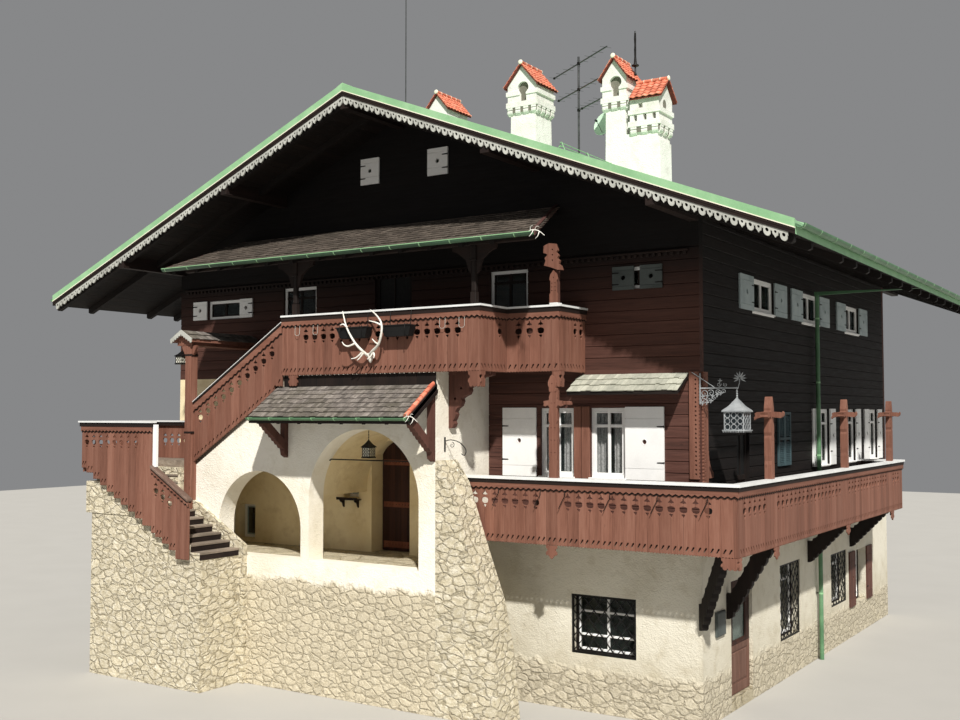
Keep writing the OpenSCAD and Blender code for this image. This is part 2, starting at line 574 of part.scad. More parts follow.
// every window in a front or back wall with the front of its frame
wx = concat([for (w = wf) [w, front_y + 50]], [for (w = uf)
    [w, front_y + 60]],
  [[bw, front_y + 220], [niche, front_y + 200], [low_win, front_y + 200]],
  [for (w = back_win) [w, back_y - 110]],
  [for (w = back_base) [w, back_y - 260]]);
wy = concat([for (w = gside) [w, half_w - 110]],
  [for (w = uside) [w, half_w - 110]],
  [for (w = gside) [w, -half_w + 50]], [for (w = uside) [w, -half_w + 50]],
  [for (w = side_base) [w, half_w - 280]],
  [for (y = [-2400, 1200, 4800]) [[y, y + 1000, 1100, 2200],
    -half_w + 200]]);
module window_frames() color(pale) {
  for (w = wx) frame_x(w[0], w[1]);
  for (w = wy) frame_y(w[0], w[1]);
}
module window_glass() color([0.6, 0.75, 0.8, 0.5]) {
  for (w = wx) pane_x(w[0], w[1] + 26);
  for (w = wy) pane_y(w[0], w[1] + 26);
}
// Iron grilles of bars that cross on the slant, flat in X and Y
module lattice(w, h, n, t) linear_extrude(14) {
  difference() {
    square([w, h]);
    translate([t, t]) square([w - 2*t, h - 2*t]);
  }
  intersection() {
    square([w, h]);
    union() for (i = [-n:2*n], s = [-1, 1])
      translate([i*w/n, s > 0 ? 0 : h]) rotate([0, 0, s*50])
        translate([-50, -9]) square([h*1.6, 18]);
  }
}
module window_grilles() color(dark) {
  translate([bw[0], front_y + 40, bw[2]]) rotate([90, 0, 0])
    lattice(bw[1] - bw[0], bw[3] - bw[2], 6, 50);
  for (w = [side_base[0], side_base[1]])
    translate([half_w - 40, w[0], w[2]]) rotate([90, 0, 90])
      lattice(w[1] - w[0], w[3] - w[2], 6, 40);
}
// A pair of open leaves, l wide, on both sides of each window
module leaves_x(w, l, y0, y1) for (x = [w[0] - l - 8, w[1] + 8])
  blk([x, y0, w[2] - 15], [x + l, y1, w[3] + 10]);
module leaves_y(w, l, x0, x1) for (y = [w[0] - l - 8, w[1] + 8])
  blk([x0, y, w[2] - 15], [x1, y + l, w[3] + 10]);
module shutters() color(pale) {
  f = front_y - 45;
  blk([2623, f, 4450], [3403, front_y, 5810]);
  blk([5347, f, 4450], [6139, front_y, 5820]);
  blk([5097, f, 8044], [5549, front_y, 8491]);
  blk([5670, f, 8044], [6123, front_y, 8491]);
  blk([-6369, f, 7981], [-5900, front_y, 8430]);
  blk([-4784, f, 7981], [-4375, front_y, 8430]);
  blk([-1091, f, 10760], [-579, front_y, 11340]);
  blk([735, f, 10760], [1257, front_y, 11340]);
  // louvred pair, closed, on the right side of the log storey
  blk([half_w, -1999, 4563], [half_w + 45, -1582, 5728]);
  blk([half_w, -1574, 4563], [half_w + 45, -1155, 5728]);
  for (i = [1:3]) leaves_y(gside[i], 460, half_w, half_w + 45);
  for (w = uside) leaves_y(w, 800, half_w, half_w + 45);
  leaves_y(side_base[2], 540, half_w, half_w + 45);
  for (w = gside) leaves_y(w, 460, -half_w - 45, -half_w);
  for (w = uside) leaves_y(w, 800, -half_w - 45, -half_w);
  for (w = back_win) leaves_x(w, 430, back_y, back_y + 45);
}
// Doors of the balconies, built closed, and the box beside the side door
module fixed_doors() color(dark) {
  blk([half_w - 120, gdoor[0], gdoor[2]], [half_w - 60, gdoor[1], gdoor[3]]);
  blk([ubd[0][0], front_y + 60, z_upper], [ubd[0][1], front_y + 120, 8750]);
  blk([half_w, -5708, 1548], [half_w + 60, -5261, 2007]);
}

// ---- doors that open ------------------------------------------------
// Three knuckles on a door's hinge line
module knuckles(x, y, zs) for (z = zs) translate([x, y, z])
  cylinder(r = 12, h = 120, $fn = 32);
// The entrance door swings into the hall on its left edge
ed_y = front_y + stone_t - 20 - door_t;
module entrance_door() color(timber) union() {
  blk([dx0 + 12, ed_y, z_porch + 12], [dx1 - 12, ed_y + door_t,
    door_spring + 0.5]);
  door_head(ed_y, ed_y + door_t, 12);
  knuckles(dx0 + 18, ed_y + door_t + 10, [2900, 3700, 4500]);
}
// The basement door swings into the basement on its back edge
bd_x = half_w - door_t - 60;
module basement_door() color(timber) union() {
  blk([bd_x, sd0 + 12, z_base + 12],
    [bd_x + door_t, sd1 - 12, base_door_top - 12]);
  knuckles(bd_x - 10, sd1 - 18, [400, 1240, 2080]);
}

// ---- lanterns and roof metalwork ------------------------------------
module lantern(x, y, z, s, h) translate([x, y, z]) {
  blk([-s/2, -s/2, 0], [s/2, s/2, 0.7*h]);
  blk([-0.62*s, -0.62*s, 0.7*h], [0.62*s, 0.62*s, 0.78*h]);
  blk([-0.3*s, -0.3*s, 0.78*h], [0.3*s, 0.3*s, h]);
}
module wall_lanterns() color(dark) {
  // corner lantern on its wrought arm
  union() {
    lantern(7480, -6340, 5346, 420, 690);
    blk([7470, -6350, 6030], [7490, -6330, 6320]);
    blk([half_w, -6350, 6300], [7700, -6330, 6340]);
  }
  // lantern in the porch
  union() {
    lantern(215, -7660, 4778, 220, 400);
    blk([207, -7668, 5170], [223, -7652, 5350]);
  }
  // lantern at the newel
  union() {
    lantern(-4550, -8340, 6780, 240, 330);
    blk([-4558, -8348, 7100], [-4542, -8332, 7200]);
  }
}
module roof_mast() color("#8c9190") {
  translate([636, -7000, top(636) + 9]) cylinder(r = 12, h = 2600, $fn = 16);
  union() {
    translate([1820, -1500, top(1820) + 10]) cylinder(r = 26, h = 2803,
      $fn = 24);
    for (k = [[14290, -1380, 1420], [13640, -1130, 980], [13128, -60, 1150]])
      translate([1820, -1500, k[0]]) rotate([0, 0, -34.1])
        blk([k[1], -12, 0], [k[2], 12, 24]);
  }
  union() {
    translate([3440, -1700, 13686]) cylinder(r = 20, h = 1066, $fn = 24);
    translate([3440, -1700, 13910]) cylinder(r = 80, h = 28, $fn = 32);
  }
}

base_wall_front();
base_wall_side_front();
base_wall_side_head();
base_wall_side_back();
base_wall_left();
base_wall_back();
entrance_wall_left();
entrance_wall_right();
entrance_wall_head();
entrance_plinth();
porch_front_wall();
porch_side_walls();
porch_vault();
entrance_floor();
corner_buttress();
basement_floor();
ground_floor();
upper_floor();
attic_floor();
log_wall_front();
log_wall_right();
log_wall_left();
log_wall_back();
gable_wall_front();
corner_boards();
roof_right();
roof_left();
roof_purlins();
verge_boards();
chimney_stacks();
chimney_caps();
upper_balcony_deck();
upper_balcony_parapet();
lower_balcony_deck();
lower_balcony_parapet();
balcony_posts();
balcony_brackets();
canopy_roof();
porch_roof();
window_pent_roof();
stair_gate();
stair_base();
lower_flight();
stair_landing();
upper_flight();
stair_parapets();
gutters();
window_frames();
window_glass();
window_grilles();
shutters();
fixed_doors();
entrance_door();
basement_door();
wall_lanterns();
roof_mast();
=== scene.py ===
# Looks of the alpine chalet: materials for the CAD frame and detailed pieces.
# Lengths in the tables below are millimetres in the CAD frame; meshes are
# written in metres.
import math
import random

import bmesh
import bpy
from mathutils import Matrix, Vector, noise
from mathutils.geometry import tessellate_polygon


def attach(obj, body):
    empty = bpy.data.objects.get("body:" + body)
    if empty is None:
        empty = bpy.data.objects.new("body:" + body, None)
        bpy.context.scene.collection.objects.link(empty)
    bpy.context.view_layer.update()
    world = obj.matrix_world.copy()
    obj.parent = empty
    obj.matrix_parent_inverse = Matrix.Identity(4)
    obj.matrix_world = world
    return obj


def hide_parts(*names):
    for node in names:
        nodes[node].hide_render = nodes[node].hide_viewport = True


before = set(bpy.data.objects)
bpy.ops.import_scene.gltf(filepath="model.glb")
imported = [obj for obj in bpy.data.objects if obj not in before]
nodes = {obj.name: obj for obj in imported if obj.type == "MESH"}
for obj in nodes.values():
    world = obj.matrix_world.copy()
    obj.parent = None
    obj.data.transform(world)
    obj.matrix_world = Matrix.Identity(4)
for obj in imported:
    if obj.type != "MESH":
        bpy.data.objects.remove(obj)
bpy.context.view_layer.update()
R = random.Random(11)

# ------------------------------------------------------------------ camera
cam = bpy.data.cameras.new("camera")
cam.lens = 41.97
cam.sensor_width = 36.0
cam.clip_end = 400.0
cam_ob = bpy.data.objects.new("camera", cam)
cam_ob.location = (14.59, -25.63, 5.70)
cam_ob.rotation_euler = (math.radians(92.722), 0.0, math.radians(32.991))
bpy.context.scene.collection.objects.link(cam_ob)
bpy.context.scene.camera = cam_ob


# --------------------------------------------------------------- materials
def lin(h):
    """Hex colour to linear RGBA."""
    h = h.lstrip("#")
    out = []
    for i in (0, 2, 4):
        c = int(h[i:i + 2], 16) / 255.0
        out.append(c / 12.92 if c <= 0.04045 else ((c + 0.055) / 1.055) ** 2.4)
    return (out[0], out[1], out[2], 1.0)


class Mat:
    def __init__(s, name, rough=0.7, spec=0.35):
        s.m = bpy.data.materials.new(name)
        s.m.use_nodes = True
        s.t = s.m.node_tree
        s.t.nodes.clear()
        s.o = s.t.nodes.new("ShaderNodeOutputMaterial")
        s.b = s.t.nodes.new("ShaderNodeBsdfPrincipled")
        s.b.inputs["Roughness"].default_value = rough
        s.b.inputs["Specular IOR Level"].default_value = spec
        s.ln(s.b.outputs[0], s.o.inputs[0])
        s.tc = s.t.nodes.new("ShaderNodeTexCoord")
        s.geo = None
        s.m.diffuse_color = (0.5, 0.5, 0.5, 1)

    def ln(s, a, b):
        s.t.links.new(a, b)

    def put(s, sock, v):
        if isinstance(v, bpy.types.NodeSocket):
            s.ln(v, sock)
        else:
            sock.default_value = v

    def rand(s):
        if s.geo is None:
            s.geo = s.t.nodes.new("ShaderNodeNewGeometry")
        return s.geo.outputs["Random Per Island"]

    def math(s, op, a, b=0.0, clamp=False):
        n = s.t.nodes.new("ShaderNodeMath")
        n.operation = op
        n.use_clamp = clamp
        s.put(n.inputs[0], a)
        s.put(n.inputs[1], b)
        return n.outputs[0]

    def xyz(s):
        n = s.t.nodes.new("ShaderNodeSeparateXYZ")
        s.ln(s.tc.outputs["Object"], n.inputs[0])
        return n.outputs

    def coords(s, scale, shift=False):
        n = s.t.nodes.new("ShaderNodeMapping")
        n.inputs["Scale"].default_value = scale
        s.ln(s.tc.outputs["Object"], n.inputs["Vector"])
        if not shift:
            return n.outputs[0]
        v = s.t.nodes.new("ShaderNodeVectorMath")
        v.operation = "ADD"
        c = s.t.nodes.new("ShaderNodeCombineXYZ")
        k = s.math("MULTIPLY", s.rand(), 37.0)
        for i in range(3):
            s.ln(k, c.inputs[i])
        s.ln(n.outputs[0], v.inputs[0])
        s.ln(c.outputs[0], v.inputs[1])
        return v.outputs[0]

    def noise(s, vec, scale, detail=4.0, rough=0.6, dist=0.0):
        n = s.t.nodes.new("ShaderNodeTexNoise")
        n.inputs["Scale"].default_value = scale
        n.inputs["Detail"].default_value = detail
        n.inputs["Roughness"].default_value = rough
        n.inputs["Distortion"].default_value = dist
        s.ln(vec, n.inputs["Vector"])
        return n.outputs["Fac"]

    def warp(s, vec, amount, scale):
        """Coordinates pushed about by noise, for uneven outlines."""
        n = s.t.nodes.new("ShaderNodeTexNoise")
        n.inputs["Scale"].default_value = scale
        n.inputs["Detail"].default_value = 3.0
        s.ln(vec, n.inputs["Vector"])
        k = s.t.nodes.new("ShaderNodeVectorMath")
        k.operation = "MULTIPLY_ADD"
        s.ln(n.outputs["Color"], k.inputs[0])
        k.inputs[1].default_value = (amount, amount, amount)
        s.ln(vec, k.inputs[2])
        return k.outputs[0]

    def voro(s, vec, scale, feature="F1", out="Distance", randomness=1.0):
        n = s.t.nodes.new("ShaderNodeTexVoronoi")
        n.feature = feature
        n.inputs["Scale"].default_value = scale
        n.inputs["Randomness"].default_value = randomness
        s.ln(vec, n.inputs["Vector"])
        return n.outputs[out]

    def ramp(s, fac, stops, interp="LINEAR"):
        n = s.t.nodes.new("ShaderNodeValToRGB")
        r = n.color_ramp
        r.interpolation = interp
        while len(r.elements) < len(stops):
            r.elements.new(0.5)
        for e, (p, c) in zip(r.elements, stops):
            e.position = p
            e.color = lin(c) if isinstance(c, str) else (c, c, c, 1.0)
        s.put(n.inputs[0], fac)
        return n.outputs[0]

    def mix(s, fac, a, b, mode="MIX"):
        n = s.t.nodes.new("ShaderNodeMix")
        n.data_type = "RGBA"
        n.blend_type = mode
        s.put(n.inputs[0], fac)
        s.put(n.inputs[6], lin(a) if isinstance(a, str) else a)
        s.put(n.inputs[7], lin(b) if isinstance(b, str) else b)
        return n.outputs[2]

    def maprange(s, v, a, b, c, d):
        n = s.t.nodes.new("ShaderNodeMapRange")
        s.put(n.inputs[0], v)
        for i, q in enumerate((a, b, c, d)):
            n.inputs[i + 1].default_value = q
        return n.outputs[0]

    def value(s, col, fac):
        n = s.t.nodes.new("ShaderNodeHueSaturation")
        s.put(n.inputs["Value"], fac)
        s.put(n.inputs["Color"], col)
        return n.outputs[0]

    def bump(s, h, strength, dist, prev=None):
        n = s.t.nodes.new("ShaderNodeBump")
        n.inputs["Strength"].default_value = strength
        n.inputs["Distance"].default_value = dist
        s.put(n.inputs["Height"], h)
        if prev is not None:
            s.ln(prev, n.inputs["Normal"])
        return n.outputs[0]

    def done(s, col, rough=None, normal=None):
        s.put(s.b.inputs["Base Color"], col)
        if rough is not None:
            s.put(s.b.inputs["Roughness"], rough)
        if normal is not None:
            s.ln(normal, s.b.inputs["Normal"])
        return s.m


GRAIN = {"x": (0.05, 1, 1), "y": (1, 0.05, 1), "z": (1, 1, 0.05)}


def wood(name, axis, cols, vary=0.3, fine=55.0, depth=0.004, rough=(0.62, 0.85),
         dirt=None, knots=True, spec=0.3):
    """Sawn timber whose grain runs along one axis: streaks, fine grain,
    a shift in tone from board to board and a few knots."""
    m = Mat(name, spec=spec)
    v = m.coords(GRAIN[axis], True)
    broad = m.noise(v, 6.0, 4.0, 0.6)
    grain = m.noise(v, fine, 4.0, 0.7, 0.3)
    f = m.math("ADD", m.math("MULTIPLY", broad, 0.55),
               m.math("MULTIPLY", grain, 0.45))
    col = m.ramp(f, [(0.30, cols[0]), (0.50, cols[1]), (0.72, cols[2])])
    col = m.value(col, m.maprange(m.rand(), 0.0, 1.0, 1.0 - vary, 1.0 + vary))
    if knots:
        sc = tuple(0.35 if q < 1 else 1.0 for q in GRAIN[axis])
        k = m.voro(m.coords(sc, True), 4.2)
        col = m.mix(m.ramp(k, [(0.02, 0.75), (0.075, 0.0)]), col, cols[0])
    if dirt:
        d = m.noise(m.coords((1, 1, 1)), 1.3, 5.0, 0.65)
        col = m.mix(m.ramp(d, [(0.45, 0.0), (0.72, 0.55)]), col, dirt)
    nrm = m.bump(grain, 0.55, depth)
    return m.done(col, m.maprange(grain, 0.3, 0.7, rough[0], rough[1]), nrm)


def plaster(name, light, mid, stain, coarse=1.0, foot=None, rough=0.92):
    """Lime render: rough cast, blotches, grime near the ground."""
    m = Mat(name, spec=0.2)
    v = m.coords((1, 1, 1))
    big = m.noise(v, 0.7, 5.0, 0.62)
    patch = m.noise(v, 3.1, 5.0, 0.6)
    col = m.ramp(big, [(0.34, mid), (0.56, light)])
    col = m.mix(m.ramp(patch, [(0.52, 0.0), (0.76, 0.4)]), col, stain)
    z = m.xyz()[2]
    wet = m.math("ADD", z, m.math("MULTIPLY", patch, -1.1))
    col = m.mix(m.ramp(m.maprange(wet, -0.4, 1.3, 0.0, 1.0),
                       [(0.0, 0.55), (1.0, 0.0)]), col, stain)
    pit = m.voro(v, 34.0)
    fine = m.noise(v, 85.0, 3.0, 0.7)
    if foot:
        # rough stonework in the lower part of the wall
        vs = m.warp(m.warp(m.coords((1, 1, 1.6)), 0.2, 2.2), 0.08, 9.0)
        edge = m.voro(vs, 4.4, "DISTANCE_TO_EDGE")
        tone = m.voro(vs, 4.4, "F1", "Color")
        chip = m.noise(v, 15.0, 6.0, 0.72)
        rock = m.mix(m.ramp(chip, [(0.3, 0.0), (0.7, 1.0)]), foot[1], foot[2])
        rock = m.value(rock, m.maprange(tone, 0.0, 1.0, 0.86, 1.08))
        rock = m.mix(m.ramp(edge, [(0.0, 0.5), (0.07, 0.0)]), rock, foot[3])
        k = m.ramp(m.maprange(m.math("ADD", z, m.math("MULTIPLY", patch, 0.5)),
                              foot[0] + 0.15, foot[0] + 0.3, 0.0, 1.0),
                   [(0.0, 1.0), (1.0, 0.0)])
        col = m.mix(k, col, rock)
        rise = m.math("MULTIPLY", k, m.ramp(edge, [(0.0, 0.0), (0.16, 1.0)]))
        n0 = m.bump(rise, 0.7, 0.035)
        n0 = m.bump(m.math("MULTIPLY", k, chip), 0.9, 0.03, n0)
    else:
        n0 = None
    n1 = m.bump(m.noise(v, 9.0, 4.0, 0.6), 0.35 * coarse, 0.03, n0)
    n2 = m.bump(pit, 0.5 * coarse, 0.012, n1)
    n3 = m.bump(fine, 0.5 * coarse, 0.006, n2)
    return m.done(col, rough, n3)


def rubble(name, cols, joint, scale=3.2, soft=0.09):
    """Rough stones of uneven tone in wide soft joints."""
    m = Mat(name, spec=0.2)
    v = m.warp(m.warp(m.coords((1, 1, 1.65)), 0.22, 1.9), 0.09, 9.0)
    edge = m.voro(v, scale, "DISTANCE_TO_EDGE")
    tone = m.voro(v, scale, "F1", "Color")
    g = m.noise(v, 9.0, 6.0, 0.68)
    f = m.noise(v, 46.0, 4.0, 0.75)
    gaps = m.noise(v, 2.7, 3.0, 0.6)
    col = m.ramp(g, [(0.3, cols[0]), (0.5, cols[1]), (0.7, cols[2])])
    col = m.value(col, m.maprange(tone, 0.0, 1.0, 0.84, 1.08))
    col = m.mix(m.ramp(f, [(0.38, 0.6), (0.5, 0.0)]), col, joint)
    seam = m.math("MULTIPLY", m.ramp(edge, [(0.0, 0.85), (soft, 0.0)]),
                  m.ramp(gaps, [(0.36, 0.25), (0.6, 1.0)]))
    col = m.mix(seam, col, joint)
    n1 = m.bump(m.ramp(edge, [(0.0, 0.0), (0.12, 1.0)]), 0.7, 0.05)
    n2 = m.bump(g, 0.8, 0.04, n1)
    n3 = m.bump(f, 0.7, 0.012, n2)
    return m.done(col, 0.93, n3)


def paint(name, cols, rough=0.45, fade=None, scale=(1, 1, 1), spec=0.4,
          metal=0.0, vary=0.04, wear=None, depth=0.0015):
    """Painted or bare metal and painted wood: faint streaks, chalky fading,
    worn flecks."""
    m = Mat(name, rough, spec)
    m.b.inputs["Metallic"].default_value = metal
    v = m.coords(scale, True)
    a = m.noise(v, 2.2, 5.0, 0.6)
    b = m.noise(v, 34.0, 4.0, 0.65)
    col = m.ramp(m.math("ADD", m.math("MULTIPLY", a, 0.7),
                        m.math("MULTIPLY", b, 0.3)),
                 [(0.36, cols[0]), (0.62, cols[1])])
    col = m.value(col, m.maprange(m.rand(), 0.0, 1.0, 1.0 - vary, 1.0 + vary))
    if fade:
        col = m.mix(m.ramp(a, [(0.5, 0.0), (0.78, 0.55)]), col, fade)
    if wear:
        w = m.noise(m.coords((1, 1, 1)), 21.0, 6.0, 0.75)
        col = m.mix(m.ramp(w, [(0.66, 0.0), (0.72, 0.9)]), col, wear)
    return m.done(col, m.maprange(b, 0.3, 0.7, rough - 0.08, rough + 0.14),
                  m.bump(b, 0.35, depth))


CREAM = plaster("plaster_cream", "#f6f1e4", "#e9e2d0", "#cabfa4",
                foot=(2.3, "#c3b79c", "#e2d8c0", "#a3977c"))
BASE = plaster("plaster_basement", "#ddd8c8", "#d0cab8", "#aca084", 1.2,
               foot=(0.85, "#b7ad95", "#dbd2bd", "#978c75"))
SMOOTH = plaster("plaster_porch", "#ecdcb6", "#dfcb9f", "#b99c6d", 0.4)
CHIM = plaster("plaster_chimney", "#efeee9", "#e2e0d8", "#aea89a", 0.8)
RUBBLE = rubble("rubble_stone", ["#bdb193", "#ded4ba", "#f4eddb"], "#a0947a",
                3.9, 0.06)
PAVE = rubble("porch_flags", ["#a89d84", "#bdb39a", "#cfc6ae"], "#85795f", 1.7,
              0.04)
RED = ["#5b392c", "#7c5344", "#906858"]
BOARD = wood("board_red_brown", "z", RED, 0.12)
BOARDX = wood("board_red_brown_x", "x", RED, 0.10)
BOARDY = wood("board_red_brown_y", "y", RED, 0.10)
# purple-brown made darker: painted shade on the barge boards under the canopy
PURPLE = wood("barge_purple_brown_painted_shade", "y", ["#33211f", "#503531", "#674842"], 0.1)
CONSOLE = wood("console_brown", "z", ["#3b231c", "#5a3a31", "#704c41"], 0.15)
# near-black timber; on the rail bands under the pale caps the near-black is
# partly painted shade
DARKX = wood("rail_dark_x", "x", ["#110a08", "#1f1410", "#2f201a"], 0.2)
DARKY = wood("rail_dark_y", "y", ["#110a08", "#1f1410", "#2f201a"], 0.2)
DARKZ = wood("board_dark_z", "z", ["#0d0806", "#19100c", "#281b15"], 0.25)
LOGX = wood("log_front", "x", ["#33201a", "#52342c", "#67473e"], 0.2, 30.0,
            0.008)
# side logs: a near-black copy of the front log colours, painted shade under the
# eaves and the lower balcony
LOG_SIDE_PAINTED_SHADE = wood("log_side_painted_shade", "y", ["#080505", "#110b09", "#1a120f"], 0.2, 30.0,
            0.008)
# near-black boards: painted shade under the roof overhang, the canopy, the pent
# roof and the porch roof
SOFFIT = wood("soffit_board", "y", ["#0a0605", "#140d0a", "#201612"], 0.3)
SOFFITX = wood("soffit_board_x", "x", ["#0a0605", "#140d0a", "#201612"], 0.3)
DECK = wood("deck_plank", "x", ["#4a3a2f", "#6b5646", "#8b7562"], 0.2,
            dirt="#4d4438")
TREAD = wood("tread_plank", "y", ["#61554a", "#84776a", "#a59a8b"], 0.2,
             dirt="#3c3a30")
TREADX = wood("tread_plank_x", "x", ["#61554a", "#84776a", "#a59a8b"], 0.2,
              dirt="#3c3a30")
RAILGREY = wood("handrail_weathered", "x", ["#4d3b33", "#6d584d", "#8c776b"],
                0.12)
RAILGREYY = wood("handrail_weathered_y", "y", ["#4d3b33", "#6d584d",
                                               "#8c776b"], 0.12)
SHINGLE = wood("shingle_grey", "y", ["#4c4642", "#736c66", "#9c958f"], 0.42,
               40.0, 0.006, (0.8, 0.95), dirt="#55513f", knots=False)
SHINGLE2 = wood("shingle_brown", "y", ["#38322d", "#5a5149", "#7b7268"], 0.4,
                40.0, 0.006, (0.8, 0.95), dirt="#3a362c", knots=False)
PENT = wood("shingle_pale", "y", ["#8f9287", "#aeae9f", "#cccbbd"], 0.16,
            40.0, 0.006, (0.8, 0.95), knots=False)
GREEN = paint("sheet_green", ["#94c197", "#a6d2a6"], 0.5, "#b4d9b0",
              (0.4, 1, 1), wear="#7aa17c")
GREENTRIM = paint("trim_green", ["#86b486", "#98c496"], 0.45, "#a9cfa4")
GUTTER = paint("gutter_green", ["#4a6e4f", "#5c8661"], 0.4, "#739475",
               (0.3, 1, 1))
# darker copy of the gutter green: painted shade on the canopy's trough
CANOPY_GUTTER_PAINTED_SHADE = paint("gutter_green_painted_shade", ["#27402f", "#3b5c44"], 0.4, "#4f7357",
                  (0.3, 1, 1))
CREAMTRIM = paint("trim_cream", ["#ece6cc", "#f6f2e0"], 0.5)
PALE = paint("fretwork_grey", ["#a3a49d", "#c0c1b9"], 0.7, "#cfcfc7",
             vary=0.07, wear="#7c7c74")
WHITE = paint("painted_white", ["#eeeeec", "#fbfbf9"], 0.45, "#e0e0da",
              wear="#cfccc2")
BLUEWHITE = paint("painted_blue_grey", ["#9aa8aa", "#bcc9ca"], 0.5,
                  "#a9b4b3", wear="#7c8785")
# grey in place of white paint: painted shade on the upper right-hand front
# shutters and on the box beside the side door
GREY_PAINTED_SHADE = paint("grey_painted_shade", ["#3d4341", "#525957"], 0.55, "#484e4c",
                  wear="#303433")
CAP = paint("rail_cap", ["#d7d8d6", "#ecedec"], 0.45, None)
IRON = paint("wrought_iron", ["#101010", "#1e1d1c"], 0.5, "#292623",
             metal=0.55, wear="#43352a")
STEEL = paint("aerial_metal", ["#3c3d3e", "#5c5e5f"], 0.45, metal=0.6)
DISHM = paint("dish_green", ["#c2dcc8", "#d6ead8"], 0.5)
# near-black: on the flower boxes, black paint darkened further as painted shade
BOXM = paint("flower_box", ["#050505", "#0b0b0b"], 0.7)
ZINC = paint("lantern_zinc", ["#84888b", "#a9adaf"], 0.5, "#c0c3c4",
             metal=0.25, wear="#5b5e60")
LOUVRE = paint("louvre_blue_grey", ["#33464b", "#465b60"], 0.6, "#3c5055")
# grey plates: painted shade in the hollows of the chimneys
RECESS_PAINTED_SHADE = paint("recess_grey_painted_shade", ["#6a685d", "#7f7c70"], 0.8)
DOORL = wood("side_door_brown", "z", ["#4c342b", "#6b4d41", "#84665a"], 0.15)
DOORP = wood("door_panel", "z", ["#5a2f20", "#7c4833", "#96604a"], 0.15)
DOORD = wood("door_dark", "z", ["#1d0f0b", "#351d15", "#4b2d21"], 0.2)
JAMB = wood("door_jamb", "z", ["#4d2019", "#6b3128", "#854539"], 0.12)


def make_tile():
    m = Mat("clay_tile", 0.75, 0.3)
    v = m.coords((1, 1, 1), True)
    a = m.noise(v, 6.0, 5.0, 0.6)
    b = m.noise(v, 60.0, 4.0, 0.7)
    col = m.ramp(a, [(0.3, "#bb5f4a"), (0.5, "#d27b60"), (0.7, "#e29d83")])
    col = m.value(col, m.maprange(m.rand(), 0.0, 1.0, 0.8, 1.15))
    col = m.mix(m.ramp(b, [(0.6, 0.0), (0.75, 0.5)]), col, "#8f3a28")
    return m.done(col, m.maprange(b, 0.3, 0.7, 0.62, 0.85),
                  m.bump(b, 0.5, 0.003))


def make_glass():
    m = Mat("pane_glass", 0.04, 0.5)
    v = m.coords((1, 1, 1))
    a = m.noise(v, 1.7, 3.0, 0.5)
    m.b.inputs["Alpha"].default_value = 0.26
    return m.done(m.ramp(a, [(0.3, "#1d2422"), (0.7, "#37423f")]),
                  m.maprange(a, 0.3, 0.7, 0.03, 0.09),
                  m.bump(a, 0.1, 0.01))


def make_lace():
    """White lace: fine mesh with a flowered pattern."""
    m = Mat("lace", 0.9, 0.2)
    v = m.coords((1, 1, 1))
    a = m.noise(v, 22.0, 4.0, 0.6)
    k = m.voro(v, 60.0)
    col = m.ramp(a, [(0.4, "#c9cac8"), (0.6, "#f5f5f3")])
    col = m.mix(m.ramp(k, [(0.1, 0.35), (0.35, 0.0)]), col, "#8d9190")
    return m.done(col, 0.9, m.bump(k, 0.3, 0.002))


def make_gable():
    """Logs of the upper storey: the log colours low down, near-black from about
    8 to 9.2 m up as painted shade under the roof.
    """
    m = Mat("gable_log_painted_shade", spec=0.25)
    v = m.coords(GRAIN["x"], True)
    broad = m.noise(v, 6.0, 4.0, 0.6)
    grain = m.noise(v, 30.0, 4.0, 0.7, 0.3)
    f = m.math("ADD", m.math("MULTIPLY", broad, 0.55),
               m.math("MULTIPLY", grain, 0.45))
    low = m.ramp(f, [(0.3, "#33201a"), (0.5, "#4e322a"), (0.72, "#63443b")])
    # near-black copy of the log colours: painted shade under the roof
    painted_shade_logs = m.ramp(f, [(0.3, "#060404"), (0.5, "#0c0807"), (0.72, "#15100e")])
    z = m.xyz()[2]
    # painted shade mask: rises from 0 at about 8 m to 1 at about 9.2 m, with a
    # noisy edge
    k = m.maprange(m.math("ADD", z, m.math("MULTIPLY", broad, 0.8)), 8.0, 9.2,
                   0.0, 1.0)
    return m.done(m.mix(k, low, painted_shade_logs), m.maprange(grain, 0.3, 0.7, 0.65, 0.85),
                  m.bump(grain, 0.5, 0.008))


def make_antler():
    m = Mat("antler", 0.5, 0.4)
    v = m.coords((1, 1, 1))
    a = m.noise(v, 18.0, 5.0, 0.65)
    return m.done(m.ramp(a, [(0.3, "#cfc9bb"), (0.6, "#f4f2ea")]),
                  0.5, m.bump(m.noise(v, 60.0, 3.0, 0.6), 0.5, 0.004))


def make_pane():
    """Pale grey-green blind behind the pane of the side door."""
    m = Mat("door_blind", 0.6, 0.3)
    v = m.coords((1, 1, 1))
    a = m.noise(v, 2.4, 4.0, 0.6)
    return m.done(m.ramp(a, [(0.3, "#7c8f86"), (0.7, "#a9b8ae")]), 0.6,
                  m.bump(m.noise(v, 40.0, 3.0, 0.6), 0.3, 0.002))


PANE = make_pane()
TILE = make_tile()
GLASS = make_glass()
LACE = make_lace()
GABLE_PAINTED_SHADE = make_gable()
ANTLER = make_antler()


# --------------------------------------------------------------- mesh code
def V(*a):
    return Vector(a)


X, Y, Z = V(1, 0, 0), V(0, 1, 0), V(0, 0, 1)


